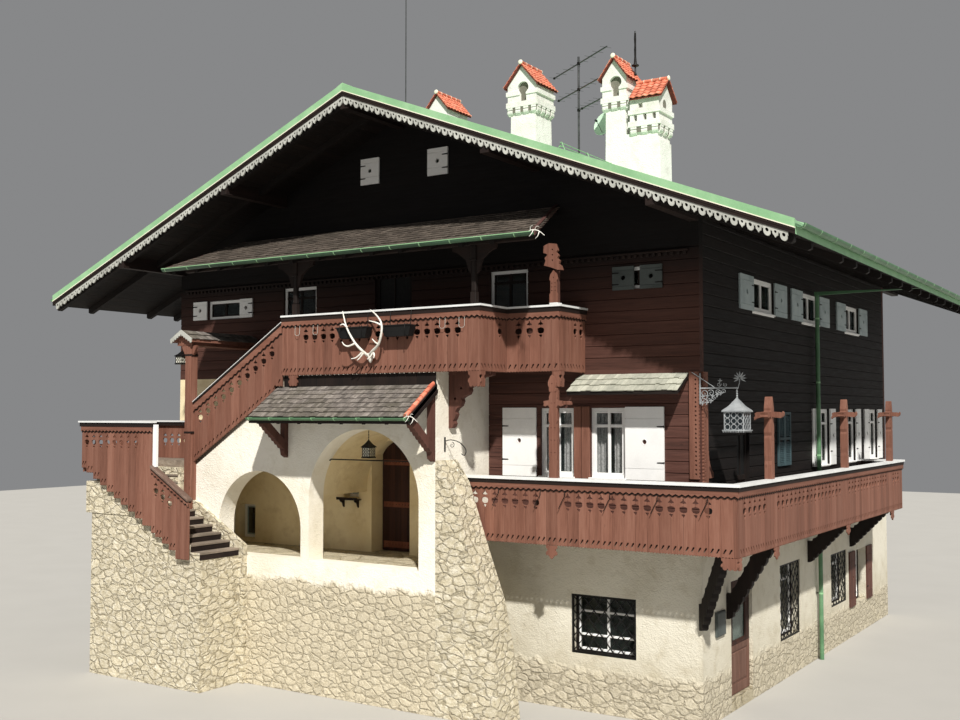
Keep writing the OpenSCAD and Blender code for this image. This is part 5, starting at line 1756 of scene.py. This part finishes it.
# --------------------------------------------------------------- curtains
for wi, w in enumerate(WF):
    mid = (w[0] + w[1]) / 2
    rod = Piece()
    rod.tube([(w[0] - 60, -6104, w[3] + 40), (w[1] + 60, -6104, w[3] + 40)],
             8, DOORD, 8)
    rod.make("curtain_rod_%d" % (wi + 1), "iron")
    for side, (a, b) in enumerate(((w[0] - 20, mid - 40),
                                   (mid + 40, w[1] + 20))):
        nu, nv = 96, 14
        folds = (b - a) / 84.0
        vs, fs, length = [], [], 0.0
        for j in range(nv + 1):
            g = j / nv
            z = w[3] + 30 - g * (w[3] - w[2] + 60)
            for i in range(nu + 1):
                f = i / nu
                ph = f * folds * 2 * math.pi
                amp = 12 + 5 * g + 3 * math.sin(3 * f + side)
                vs.append(V(a + f * (b - a) + 4 * g * math.sin(2 * ph),
                            -6104 + amp * math.sin(ph), z))
                if j == nv // 2 and i:
                    length += (vs[-1] - vs[-2]).length
        for j in range(nv):
            for i in range(nu):
                k = j * (nu + 1) + i
                fs.append((k, k + 1, k + nu + 2, k + nu + 1))
        P = Piece()
        P.add(vs, fs, LACE)
        ob = P.make("curtain_%d_%s" % (wi + 1, "lr"[side]), None,
                    smooth=60)

# ------------------------------------------------------------------ doors
P = Piece()
# entrance door: boards under an arched head, ledges, studs, ring handle
DX0, DX1, SPR, CRN = -758.0, 253.0, 4793.0, 5106.0
w_ = 1035.0
rs = CRN - SPR
RR = (w_ * w_ / 4 + rs * rs) / (2 * rs)
CX = (-770 + 265) / 2


def door_top(x):
    return min(CRN - RR + math.sqrt(max((RR - 12) ** 2 - (x - CX) ** 2, 0)),
               5094)


nb = 6
for i in range(nb):
    a = DX0 + i * (DX1 - DX0) / nb + (2 if i else 0)
    b = DX0 + (i + 1) * (DX1 - DX0) / nb - (2 if i < nb - 1 else 0)
    pts = [(a, 2692), (b, 2692)] + [(b + (a - b) * k / 5,
                                     door_top(b + (a - b) * k / 5))
                                    for k in range(6)]
    P.prism(pts, V(0, -5938, 0), X, Z, V(0, 38, 0), DOORD)
for z0, z1 in ((2760, 2900), (3640, 3760), (4560, 4680)):
    P.box((DX0 + 40, -5949, z0), (DX1 - 40, -5937, z1), DOORP, 5)
    for i in range(nb):
        for k in (-1, 1):
            P.lathe([(11, 0), (8, 5), (3, 8)], V(
                DX0 + (i + 0.5) * (DX1 - DX0) / nb + k * 40, -5948,
                (z0 + z1) / 2), IRON, 8, -Y, X)
P.prism([(a, b) for a, b in circle(170, 3700, 44, 14)], V(0, -5949.8, 0), X,
        Z, V(0, 8, 0), IRON)
P.box((120, -5949.5, 3560), (215, -5938, 3820), IRON, 4)
for zc in (2900, 3700, 4500):
    P.lathe([(12, -60), (12, 60)], V(-752, -5880, zc), IRON, 10)
    P.box((-752, -5900, zc - 45), (-560, -5892, zc + 45), IRON, 3)
P.make("entrance_leaf_boards", "floor_timber", ["entrance_door"],
       "entrance_leaf")

P = Piece()
# side door: panelled below, one tall pane in a dark frame above
y0, y1, z0, z1 = -4851.0, -3691.0, 262.0, 2458.0
for a, b, c, d, mt in ((y0, y0 + 120, z0, 1200, DOORL),
                       (y1 - 120, y1, z0, 1200, DOORL),
                       (y0, y0 + 225, 1200, z1, DOORD),
                       (y1 - 225, y1, 1200, z1, DOORD),
                       (y0 + 225, y1 - 225, z1 - 170, z1, DOORD),
                       (y0 + 120, y1 - 120, z0, z0 + 190, DOORL),
                       (y0 + 120, y1 - 120, 1080, 1200, DOORL),
                       (y0 + 225, y1 - 225, 1200, 1270, DOORD)):
    P.box((6722, a, c), (6778, b, d), mt, 6)
P.box((6738, y0 + 116, z0 + 186), (6760, y1 - 116, 1084), DOORL)
for i in range(2):
    a = y0 + 150 + i * 440
    P.box((6732, a, z0 + 225), (6772, a + 420, 1050), DOORL, 14)
P.box((6746, y0 + 221, 1266), (6754, y1 - 221, z1 - 166), GLASS)
P.box((6744, y0 + 224, 1270), (6745, y1 - 224, z1 - 170), PANE)
for a, b, c, d in ((y0 + 225, y0 + 250, 1270, z1 - 170),
                   (y1 - 250, y1 - 225, 1270, z1 - 170),
                   (y0 + 250, y1 - 250, 1270, 1294),
                   (y0 + 250, y1 - 250, z1 - 194, z1 - 170)):
    P.box((6754, a, c), (6770, b, d), DOORD, 4)
P.box((6778, y0 + 30, 1190), (6786, y0 + 78, 1420), IRON, 3)
P.tube([(6782, y0 + 54, 1310), (6808, y0 + 54, 1310),
        (6810, y0 + 130, 1308)], 9, IRON, 8)
for zc in (400, 1240, 2080):
    P.lathe([(12, -60), (12, 60)], V(6710, -3697, zc), IRON, 10)
    P.box((6714, -3780, zc - 45), (6721, -3697, zc + 45), IRON, 2)
P.make("side_door_leaf", "floor_timber", ["basement_door"], "basement_leaf")

P = Piece()
# doors of the balconies and the box beside the side door
for a, al, o_, b0, b1, z0, z1 in ((6720, Y, X, -4447, -3736, 3550, 5374),
                                  (6200, X, -Y, -700, 300, 6780, 8750)):
    def pan(u0, u1, v0, v1, d0, d1, mat, c=4):
        P.obox(al * u0 + Z * v0 + o_ * (a + d0), al * (u1 - u0),
               Z * (v1 - v0), o_ * (d1 - d0), mat, c)
    DP = DARKZ
    pan(b0, b1, z0, z1, 0, 30, DOORD)
    pan(b0, b0 + 95, z0, z1, 30, 60, DP)
    pan(b1 - 95, b1, z0, z1, 30, 60, DP)
    pan(b0 + 95, b1 - 95, z1 - 110, z1, 30, 60, DP)
    pan(b0 + 95, b1 - 95, z0, z0 + 160, 30, 60, DP)
    zm = z0 + 0.48 * (z1 - z0)
    pan(b0 + 95, b1 - 95, zm - 50, zm + 50, 30, 60, DP)
    pan(b0 + 130, b1 - 130, z0 + 200, zm - 90, 30, 48, DP, 12)
    pan(b0 + 95, b1 - 95, zm + 50, z1 - 110, 30, 36, BOXM, 0)
    pan((b0 + b1) / 2 - 18, (b0 + b1) / 2 + 18, zm + 50, z1 - 110, 36, 56,
        DP)
# box beside the side door in grey: painted shade
P.box((6840.5, -5708, 1548), (6886, -5261, 2007), GREY_PAINTED_SHADE, 8)
P.box((6886, -5690, 1566), (6896, -5279, 1989), GREY_PAINTED_SHADE, 6)
P.box((6896, -5320, 1750), (6900, -5300, 1800), IRON, 2)
P.make("fixed_door_panels", "dark_timber", ["fixed_doors"])

# --------------------------------------------------------------- lanterns
def lantern(P, x, y, z, s, h, rings=3, mat=None, pane=None):
    """Square lantern: tray, posts, panes under rings, hipped roof."""
    mat = mat or IRON
    h2 = s / 2
    zb, zt = z + 0.08 * h, z + 0.56 * h
    P.box((x - h2 * .94, y - h2 * .94, z + 0.02 * h),
          (x + h2 * .94, y + h2 * .94, z + 0.05 * h), mat, 4)
    P.lathe([(4, -0.02 * h), (s * .12, 0.0), (s * .3, 0.02 * h)], V(x, y, z
            + 0.02 * h), mat, 12)
    P.box((x - h2, y - h2, z + 0.05 * h), (x + h2, y + h2, zb), mat, 4)
    w = s * 0.42
    for i in (-1, 1):
        for j in (-1, 1):
            P.tube([(x + i * w, y + j * w, zb), (x + i * w, y + j * w, zt)],
                   s * 0.022, mat, 8)
            P.lathe([(s * .035, 0), (s * .02, s * .06), (3, s * .1)],
                    V(x + i * h2 * .94, y + j * h2 * .94, zt), mat, 8)
            P.lathe([(3, -s * .07), (s * .03, 0)],
                    V(x + i * h2 * .9, y + j * h2 * .9, z + 0.05 * h), mat,
                    8)
    P.box((x - w + 6, y - w + 6, zb), (x + w - 6, y + w - 6, zt), pane or PANEL)
    step = 2 * w / rings
    nz = max(2, round((zt - zb) / step))
    rz = (zt - zb) / nz
    for out, run in ((-Y, X), (Y, X), (X, Y), (-X, Y)):
        o = V(x, y, 0) + out * (w - 5)
        for i in range(rings):
            for j in range(nz):
                cx, cz = -w + (i + .5) * step, zb + (j + .5) * rz
                r0 = min(step, rz) * 0.5
                P.prism(circle(cx, cz, r0, 12), o, run, Z, out * 6, mat,
                        [circle(cx, cz, r0 * .78, 12)])
        for f in (zb, zt - 8):
            P.obox(o + run * -w + Z * f, run * (2 * w), Z * 8, out * 8, mat)
    zr = z + 0.94 * h
    P.box((x - h2 - 6, y - h2 - 6, zt), (x + h2 + 6, y + h2 + 6, zt
                                         + 0.035 * h), mat, 4)
    base = zt + 0.035 * h
    a = [(x - h2 - 6, y - h2 - 6), (x + h2 + 6, y - h2 - 6),
         (x + h2 + 6, y + h2 + 6), (x - h2 - 6, y + h2 + 6)]
    mid = [(x + (p[0] - x) * .55, y + (p[1] - y) * .55) for p in a]
    topq = [(x + (p[0] - x) * .06, y + (p[1] - y) * .06) for p in a]
    zm = base + (zr - base) * 0.38
    vs = ([(*p, base) for p in a] + [(*p, zm) for p in mid]
          + [(*p, zr) for p in topq])
    fs = [(3, 2, 1, 0), (8, 9, 10, 11)]
    for k in range(2):
        for i in range(4):
            j = (i + 1) % 4
            fs.append((k * 4 + i, k * 4 + j, k * 4 + 4 + j, k * 4 + 4 + i))
    P.add(vs, fs, mat)
    P.lathe([(s * .03, 0), (s * .05, .02 * h), (s * .02, .04 * h),
             (s * .035, .06 * h)], V(x, y, zr - 4), mat, 10)


def make_panel():
    m = Mat("lantern_pane", 0.25, 0.5)
    v = m.coords((1, 1, 1))
    a = m.noise(v, 9.0, 4.0, 0.6)
    return m.done(m.ramp(a, [(0.3, "#b9b6a4"), (0.7, "#e6e4d6")]),
                  m.maprange(a, 0.3, 0.7, 0.15, 0.35),
                  m.bump(m.noise(v, 30.0, 2.0, 0.5), 0.3, 0.004))


PANEL = make_panel()
DARKPANE = paint("lantern_glass", ["#12171a", "#252c30"], 0.15)


def scroll(P, c, r, turns, a0, r_t, plane, flip=1, mat=IRON):
    """Spiral of bar in a plane; plane is (u, v)."""
    u, v = plane
    n = int(14 * turns)
    pts = []
    for i in range(n + 1):
        f = i / n
        t = a0 + flip * f * turns * 2 * math.pi
        rr = r * (1 - 0.82 * f)
        pts.append(c + u * (rr * math.cos(t)) + v * (rr * math.sin(t)))
    P.tube(pts, [r_t * (1 - 0.4 * i / n) for i in range(n + 1)], mat, 6)


P = Piece()
LX = 7545
lantern(P, LX, -6340, 5350, 420, 660, mat=ZINC, pane=DARKPANE)
for i in range(9):
    P.lathe([(3, -26), (9, -10), (11, 0)], V(LX - 190 + i * 47, -6545, 5383),
            ZINC, 8)
P.tube([(LX, -6340, 5965), (LX, -6340, 6150)], 7, ZINC, 6)
for z in range(5990, 6130, 42):
    P.lathe([(8, 0), (17, 12), (17, 26), (8, 38)], V(LX, -6340, z), ZINC, 8)
P.box((6842, -6352, 6140), (LX + 30, -6330, 6166), ZINC, 4)
P.box((6842, -6362, 5860), (6856, -6318, 6430), ZINC, 3)
P.tube([(6706, -6376, 6447), (6900, -6360, 6318), (7128, -6341, 6164)], 8,
       ZINC, 8)
for c, r, a0, fl in (((6925, 6055), 74, -0.6, 1), ((7060, 6066), 62, 2.5, -1),
                     ((7185, 6080), 50, 0.4, 1), ((7300, 6092), 40, 2.7, -1),
                     ((6905, 5930), 48, 0.2, 1), ((7010, 5950), 44, 2.6, 1),
                     ((7110, 5980), 36, 0.3, -1), ((7210, 6220), 42, 0.3, -1),
                     ((7330, 6214), 38, 2.4, 1)):
    scroll(P, V(c[0], -6340, c[1]), r, 1.25, a0, 7, (X, Z), fl, ZINC)
for x, z in ((6900, 6000), (6990, 6010), (7090, 6010), (7180, 6030),
             (7250, 6060), (6900, 5880), (6980, 5890), (7060, 5920),
             (7230, 6280)):
    for t in (0.3, 1.6, 2.9, 4.4):
        P.prism([(0, 0), (12, 11), (34, 7), (46, -3), (32, -11), (10, -9)],
                V(x, -6343, z), V(math.cos(t), 0, math.sin(t)),
                V(-math.sin(t), 0, math.cos(t)), V(0, 5, 0), ZINC)
P.tube([(LX + 20, -6340, 6160), (7590, -6340, 6230), (7600, -6340, 6320)], 8,
       ZINC, 6)
for k in range(9):
    t = -0.5 + k * 0.52
    P.prism([(12, 0), (40, 13), (90, 9), (128, -2), (84, -12), (36, -10)],
            V(7600, -6344, 6325), V(math.cos(t), 0, math.sin(t)),
            V(-math.sin(t), 0, math.cos(t)), V(0, 6, 0), ZINC)
lantern(P, 215, -7660, 4778, 220, 400)
for z in range(5160, 5350, 32):
    P.lathe([(5, 0), (11, 8), (11, 18), (5, 26)], V(215, -7660, z), IRON, 8)
lantern(P, -4550, -8340, 6780, 240, 330)
P.tube([(-4550, -8340, 7090), (-4550, -8340, 7198)], 7, IRON, 6)
P.make("lanterns", "iron", ["wall_lanterns"])

# ----------------------------------------------------------------- stairs
SX1, SG, SR, NX, NY = -2790.0, 268.0, 151.5, -4398.0, -8480.0
P = Piece()
for i in range(6):
    z = 2680 + (i + 1) * SR
    x1 = SX1 - i * SG
    x0 = x1 - SG
    P.box((x1 - 2, -9398, z - SR + 5), (x1 + 9, -8302, z - 38), DARKX,
          2)
    for k in range(2):
        a = x0 + k * SG / 2 + (2 if k else 0)
        b = x0 + (k + 1) * SG / 2 + (24 if k else -2)
        P.box((a, -9398, z - 38), (b, -8302, z + 5), TREAD, 5)
for k in range(7, 13):
    a = math.radians(18 * (k - 7))
    dr = V(-math.sin(a), -math.cos(a), 0)
    rm = min(920 / max(math.cos(a), 1e-6), 2002 / max(math.sin(a), 1e-6)) - 6
    sd = V(math.cos(a), -math.sin(a), 0)
    z = 2680 + k * SR
    w = 110
    if k < 12:
        P.obox(V(NX, NY, z - 38) + dr * 60 - sd * (w - 22), dr * (rm - 60),
               sd * w, V(0, 0, 43), TREADX, 4)
for j in range(12):
    z = 4650 + (j + 1) * 163.85
    x0 = -4500 + j * 260
    if z < 6700:
        P.box((x0 - 20, -8208, z - 36), (x0 + 120, -7302, z + 5), TREAD, 5)
        P.box((x0 + 124, -8208, z - 36), (x0 + 258, -7302, z + 5), TREAD, 5)
P.make("stair_treads", "dark_timber")


def nose(x):
    return 4877 + 0.629 * (x + 4408)


P = Piece()
lv = lambda u: 4513 - 0.5715 * u
boards(P, V(-6460, -9490, 0), X, 2302, -Y, lv, flat(5460), 232,
       phase=-5832 + 6460, step=True, t=32, plain=(9, 10))
boards(P, V(-4158, -9490, 0), X, 760, -Y, lambda u: lv(u + 2302),
       lambda u: 4538 - 0.583 * u, 212, phase=-4035 + 4158, step=True, t=32)
boards(P, V(-3398, -9490, 0), X, 368, -Y,
       lambda u: 2685.0, lambda u: 4538 - 0.583 * (u + 760), 122, cuts=[],
       ticks=False, t=36)
fascia(P, V(-6460, -9490, 0), X, 2302, -Y, flat(5460), 117)
fascia(P, V(-4158, -9490, 0), X, 1128, -Y, lambda u: 4538 - 0.583 * u, 106,
       h=84)
# left end and back of the winders
boards(P, V(-6460, -7344, 0), -Y, 2110, -X, flat(4400), flat(5460), 234, t=32)
fascia(P, V(-6460, -7344, 0), -Y, 2146, -X, flat(5460), 117, mat=BOARDY)
boards(P, V(-4560, -7344, 0), -X, 1840, Y, flat(4500), flat(5460), 230, t=30)
rail(P, [(-6460, -7344), (-6460, -9490), (-4140, -9490)], 5460, 5530, 50, 80)
rail(P, [(-4560, -7370), (-6380, -7370)], 5460, 5530, 60, 60)
# sloping handrail over the straight steps
d = V(1145, 0, -669)
P.obox(V(-4158, -9560, 4544), d, V(0, 170, 0), V(0, 0, 62), RAILGREY, 14)
P.obox(V(-4158, -9530, 4510), d * 0.985, V(0, 110, 0), V(0, 0, 40), DARKX, 4)
# newel of the lower flight, and the pale post where the level part ends
P.box((-3398, -9500, 2690), (-3386, -9460, 3990), BOARD, 3)
P.box((-4156, -9484, 4560), (-4060, -9404, 5458), WHITE, 8)
# both sides of the upper flight
zt = lambda u: nose(u - 4201) + 880
boards(P, V(-4201, UB_Y, 0), X, 2614, -Y,
       lambda u: max(4627 + 0.629 * u, 0) if u < 2431 else 6260, zt, 235.8,
       phase=-1409 - 235.8 * 11 + 4201, t=32)
fascia(P, V(-4201, UB_Y, 0), X, 2614, -Y, zt, 117.9)
boards(P, V(-1380, -7244, 0), -X, 3060, Y,
       lambda u: nose(-1380 - u) - 330, lambda u: nose(-1380 - u) + 880, 235.8,
       t=30)
dz = 0.629 * 2614
P.obox(V(-4201, -8350, nose(-4201) + 882), V(2614, 0, dz), V(0, 190, 0),
       V(0, 0, 52), DARKX, 6)
P.obox(V(-4201, -8354, nose(-4201) + 934), V(2614, 0, dz), V(0, 198, 0),
       V(0, 0, 18), CAP, 3)
P.obox(V(-4440, -7320, nose(-4440) + 882), V(3060, 0, 0.629 * 3060),
       V(0, 100, 0), V(0, 0, 60), DARKX, 6)
# boards of the newel post under the small gable
P.make("stair_parapet_boards", "dark_timber", ["stair_parapets"])

P = Piece()
for k in range(2):
    P.box((-4391 + k * 96, -8396, 3592), (-4299 + k * 95, -8381, 7190),
          BOARD, 4)
P.box((-4410, -8400, 5250), (-4182, -8200, 5300), DARKX, 6)
P.box((-4410, -8400, 6960), (-4182, -8200, 7010), DARKX, 6)
for s in (-1, 1):
    P.prism([(s * 95, 7190), (s * 95, 6960), (s * 150, 7020),
             (s * 220, 7150), (s * 230, 7200)], V(-4430 + 134, -8372, 0), X,
            Z, V(0, 60, 0), BOARD)
# carved boards along the little gable
for s in (-1, 1):
    low = [(s * 330, 7262)]
    for i in range(5):
        f0, f1 = i / 5, (i + .5) / 5
        low.append((s * (330 - 330 * f1), 7262 + 193 * f1 - 34))
        low.append((s * (330 - 330 * (i + 1) / 5), 7262 + 193 * (i + 1) / 5))
    P.prism([(s * 338, 7345)] + low + [(0, 7545)], V(-4430, -8500, 0), X, Z,
            V(0, 22, 0), PALE)
P.make("gate_boards", "dark_timber")

# ------------------------------------------------- small things on the wall
P = Piece()
for a, b, c, d in ((68, 862, 160, 775), (1180, 1919, 1270, 1835)):
    vs = [(a, -8540, 7395), (b, -8540, 7395), (b, -8352, 7395),
          (a, -8352, 7395), (c, -8500, 7180), (d, -8500, 7180),
          (d, -8352, 7180), (c, -8352, 7180)]
    # flower boxes in near-black, partly painted shade
    P.add(vs, [(7, 6, 5, 4), (0, 1, 5, 4), (1, 2, 6, 5), (2, 3, 7, 6),
               (3, 0, 4, 7), (0, 3, 2, 1)], BOXM)
    P.box((a - 12, -8552, 7380), (b + 12, -8534, 7402), BOXM, 3)
    P.box((a + 20, -8530, 7390), (b - 20, -8362, 7396), DECK)
    for x in (a + 120, b - 120):
        P.tube([(x, -8340, 7716), (x, -8362, 7600), (x, -8370, 7400),
                (x, -8470, 7170), (x, -8560, 7200), (x, -8572, 7330),
                (x, -8560, 7420)], 8, IRON, 6)
P.make("flower_boxes", "iron")

P = Piece()


def branch(P, pts, r0, r1, mat=ANTLER, n=8):
    k = len(pts) - 1
    P.tube(pts, [r0 + (r1 - r0) * i / k for i in range(k + 1)], mat, n)


def smooth_path(pts, sub=3):
    """Catmull-Rom points through the given ones."""
    pts = [Vector(p) for p in pts]
    out = []
    for i in range(len(pts) - 1):
        a = pts[max(i - 1, 0)]
        b, c = pts[i], pts[i + 1]
        d = pts[min(i + 2, len(pts) - 1)]
        for k in range(sub):
            t = k / sub
            out.append(0.5 * ((2 * b) + (c - a) * t + (2 * a - 5 * b + 4 * c
                       - d) * t * t + (3 * b - a - 3 * c + d) * t ** 3))
    out.append(pts[-1])
    return out


# antlers on the parapet
for main, tines in (
        ([(790, 6830), (658, 6921), (457, 7104), (252, 7407), (148, 7729)],
         [[(269, 7405), (170, 7470), (90, 7452)],
          [(473, 7082), (300, 7030), (195, 7062), (143, 7123)],
          [(650, 6901), (500, 6800), (375, 6781)],
          [(675, 6880), (590, 6790), (526, 6748)]]),
        ([(833, 6838), (906, 6913), (1053, 7044), (1125, 7274), (1112, 7468),
          (990, 7620), (852, 7723)],
         [[(1128, 7408), (980, 7470), (820, 7509)],
          [(1069, 7043), (980, 7080), (896, 7155)],
          [(922, 6892), (850, 6800), (775, 6761)],
          [(935, 6892), (950, 6830), (935, 6776)]])):
    ys = lambda i, n: -8370 - 230 * math.sin(math.pi * i / max(n, 1) * .85)
    pts = [(x - .8 * (ys(i, len(main) - 1) + 8420), ys(i, len(main) - 1),
            z + .08 * (ys(i, len(main) - 1) + 8420))
           for i, (x, z) in enumerate(main)]
    branch(P, smooth_path(pts), 34, 11)
    for t in tines:
        yt = -8420
        for j in range(len(main)):
            if abs(main[j][0] - t[0][0]) + abs(main[j][1] - t[0][1]) < 120:
                yt = ys(j, len(main) - 1)
        pts = [(x - .8 * (yt + 8420 - 22 * i), yt - 22 * i,
                z + .08 * (yt + 8420 - 22 * i)) for i, (x, z) in enumerate(t)]
        branch(P, smooth_path(pts), 22, 8)
P.lathe([(10, 0), (34, 30), (52, 90), (58, 150), (44, 190), (16, 205)],
        V(812, -8362, 6690), ANTLER, 12, Z, X)
P.lathe([(90, 0), (96, 8), (84, 20), (20, 26)], V(812, -8302, 6800), DOORP, 16,
        -Y, X)
# pale branched spouts at the ends of two gutters
for o, sc in ((V(4640, -8820, 8850), 0.8), (V(2200, -9130, 5600), 0.7)):
    k = lambda x, y, z: o + V(x, y, z) * sc
    branch(P, smooth_path([k(0, 0, 0), k(150, -20, 60), k(330, -40, 30),
                           k(500, -60, -90)]), 20 * sc, 6 * sc)
    for pts in ([k(120, -20, 50), k(150, -60, 130), k(220, -90, 150)],
                [k(240, -30, 55), k(300, -70, 120), k(380, -90, 110)],
                [k(360, -45, 10), k(350, -90, -90), k(300, -110, -150)],
                [k(200, -30, 55), k(190, -90, -30), k(140, -110, -90)]):
        branch(P, smooth_path(pts), 12 * sc, 4 * sc)
P.make("antlers", "pale_wood", smooth=50)

P = Piece()
# tie bar of the porch with its plates, niche shelf, hook on the corner
P.tube([(-700, -7800, 4748), (1690, -7800, 4748)], 13, IRON, 8)
for x in (-690, 1660):
    P.lathe([(40, 0), (30, 12)], V(x, -7800, 4748), IRON, 12, X, Y)
P.box((-1640, -6480, 3790), (-1050, -6322, 3812), DARKX, 4)
for x in (-1560, -1150):
    P.prism([(-6322, 3788), (-6470, 3788), (-6450, 3750), (-6380, 3720),
             (-6350, 3640), (-6322, 3620)], V(x, 0, 0), Y, Z, V(34, 0, 0),
            DARKX)
P.box((-1640, -6486, 3812), (-1050, -6470, 3850), DARKX, 3)
P.tube(smooth_path([(2272, -7900, 5160), (2420, -7900, 5190),
                    (2620, -7900, 5140), (2760, -7900, 5010),
                    (2730, -7900, 4900), (2660, -7900, 4930)]), 9, IRON, 6)
scroll(P, V(2440, -7900, 5090), 60, 1.2, 1.5, 7, (X, Z), -1)
P.box((2272, -7925, 4960), (2280, -7875, 5240), IRON, 3)
P.make("porch_ironwork", "iron")

P = Piece()
# trough of the canopy in a darker green than the other gutters as painted
# shade, with a lip in the lighter trim green as a painted highlight on its top
# edge
prof = arc(-8820, 8870, 63, 180, 360, 12)
P.prism(prof + list(reversed(arc(-8820, 8870, 60, 180, 360, 12))),
        V(-4648, 0, 0), Y, Z, V(9412, 0, 0), CANOPY_GUTTER_PAINTED_SHADE)
P.tube([(-4648, -8884, 8872), (4764, -8884, 8872)], 9, GREENTRIM, 8)
# straps of the gutters
for x in range(-4560, 4700, 690):
    P.box((x, -8886, 8864), (x + 22, -8756, 8874), GREENTRIM, 2)
    P.prism(arc(-8820, 8870, 64, 180, 360, 10)
            + list(reversed(arc(-8820, 8870, 61, 180, 360, 10))),
            V(x, 0, 0), Y, Z, V(22, 0, 0), GREENTRIM)
for x in range(-1680, 2300, 560):
    P.box((x, -9198, 5607), (x + 20, -9078, 5616), GREENTRIM, 2)
    P.prism(arc(-9138, 5612, 59, 180, 360, 10)
            + list(reversed(arc(-9138, 5612, 56, 180, 360, 10))),
            V(x, 0, 0), Y, Z, V(20, 0, 0), GREENTRIM)
for s in (-1, 1):
    zg = top(s * EAVE) - 50
    for y in range(-8200, 9500, 900):
        P.prism([(s * 9300 + a, b) for a, b in arc(0, zg, 79, 180, 360, 10)
                 + list(reversed(arc(0, zg, 76, 180, 360, 10)))],
                V(0, y, 0), X, Z, V(0, 26, 0), GREENTRIM)
for z in (1500, 3000, 4700, 6400, 7900):
    P.lathe([(54, 0), (54, 40)], V(6950, 700, z), GREENTRIM, 16)
    P.box((6842, 688, z + 8), (6905, 712, z + 32), IRON, 3)
P.make("gutter_straps", "gutter_metal")

P = Piece()
# row of small blocks over the upper front windows
x = -6600
while x < 6600:
    P.box((x, -6372, 8640), (x + 62, -6322, 8700), DARKX, 6)
    x += 124
P.box((-6640, -6384, 8700), (6640, -6322, 8736), DARKX, 6)
P.make("wall_dentils", "dark_timber")

# ------------------------------------------------------------ stage, light
m = Mat("floor", 0.9, 0.1)
v = m.coords((1, 1, 1))
m.done(m.ramp(m.noise(v, 0.6, 4, 0.5), [(0.3, "#b3b1ac"), (0.7, "#b6b4af")]))
me = bpy.data.meshes.new("floor")
me.from_pydata([(-60, -60, -0.002), (60, -60, -0.002), (60, 60, -0.002),
                (-60, 60, -0.002)], [], [(0, 1, 2, 3)])
me.materials.append(m.m)
floor = bpy.data.objects.new("floor", me)
bpy.context.scene.collection.objects.link(floor)
sun = bpy.data.lights.new("sun", "SUN")
sun.energy = 5.2
sun.angle = math.radians(1.6)
sun.color = (1.0, 0.97, 0.92)
sun_ob = bpy.data.objects.new("sun", sun)
sun_ob.rotation_euler = V(-1.0, 1.2, -1.49).to_track_quat("-Z",
                                                          "Y").to_euler()
sun_ob.location = (20, -20, 30)
bpy.context.scene.collection.objects.link(sun_ob)
world = bpy.data.worlds.new("studio")
bpy.context.scene.world = world
world.use_nodes = True
bg = world.node_tree.nodes["Background"]
bg.inputs["Color"].default_value = (0.97, 0.98, 1.0, 1.0)
bg.inputs["Strength"].default_value = 0.25
bpy.context.scene.view_settings.view_transform = "Standard"
bpy.context.scene.view_settings.look = "None"
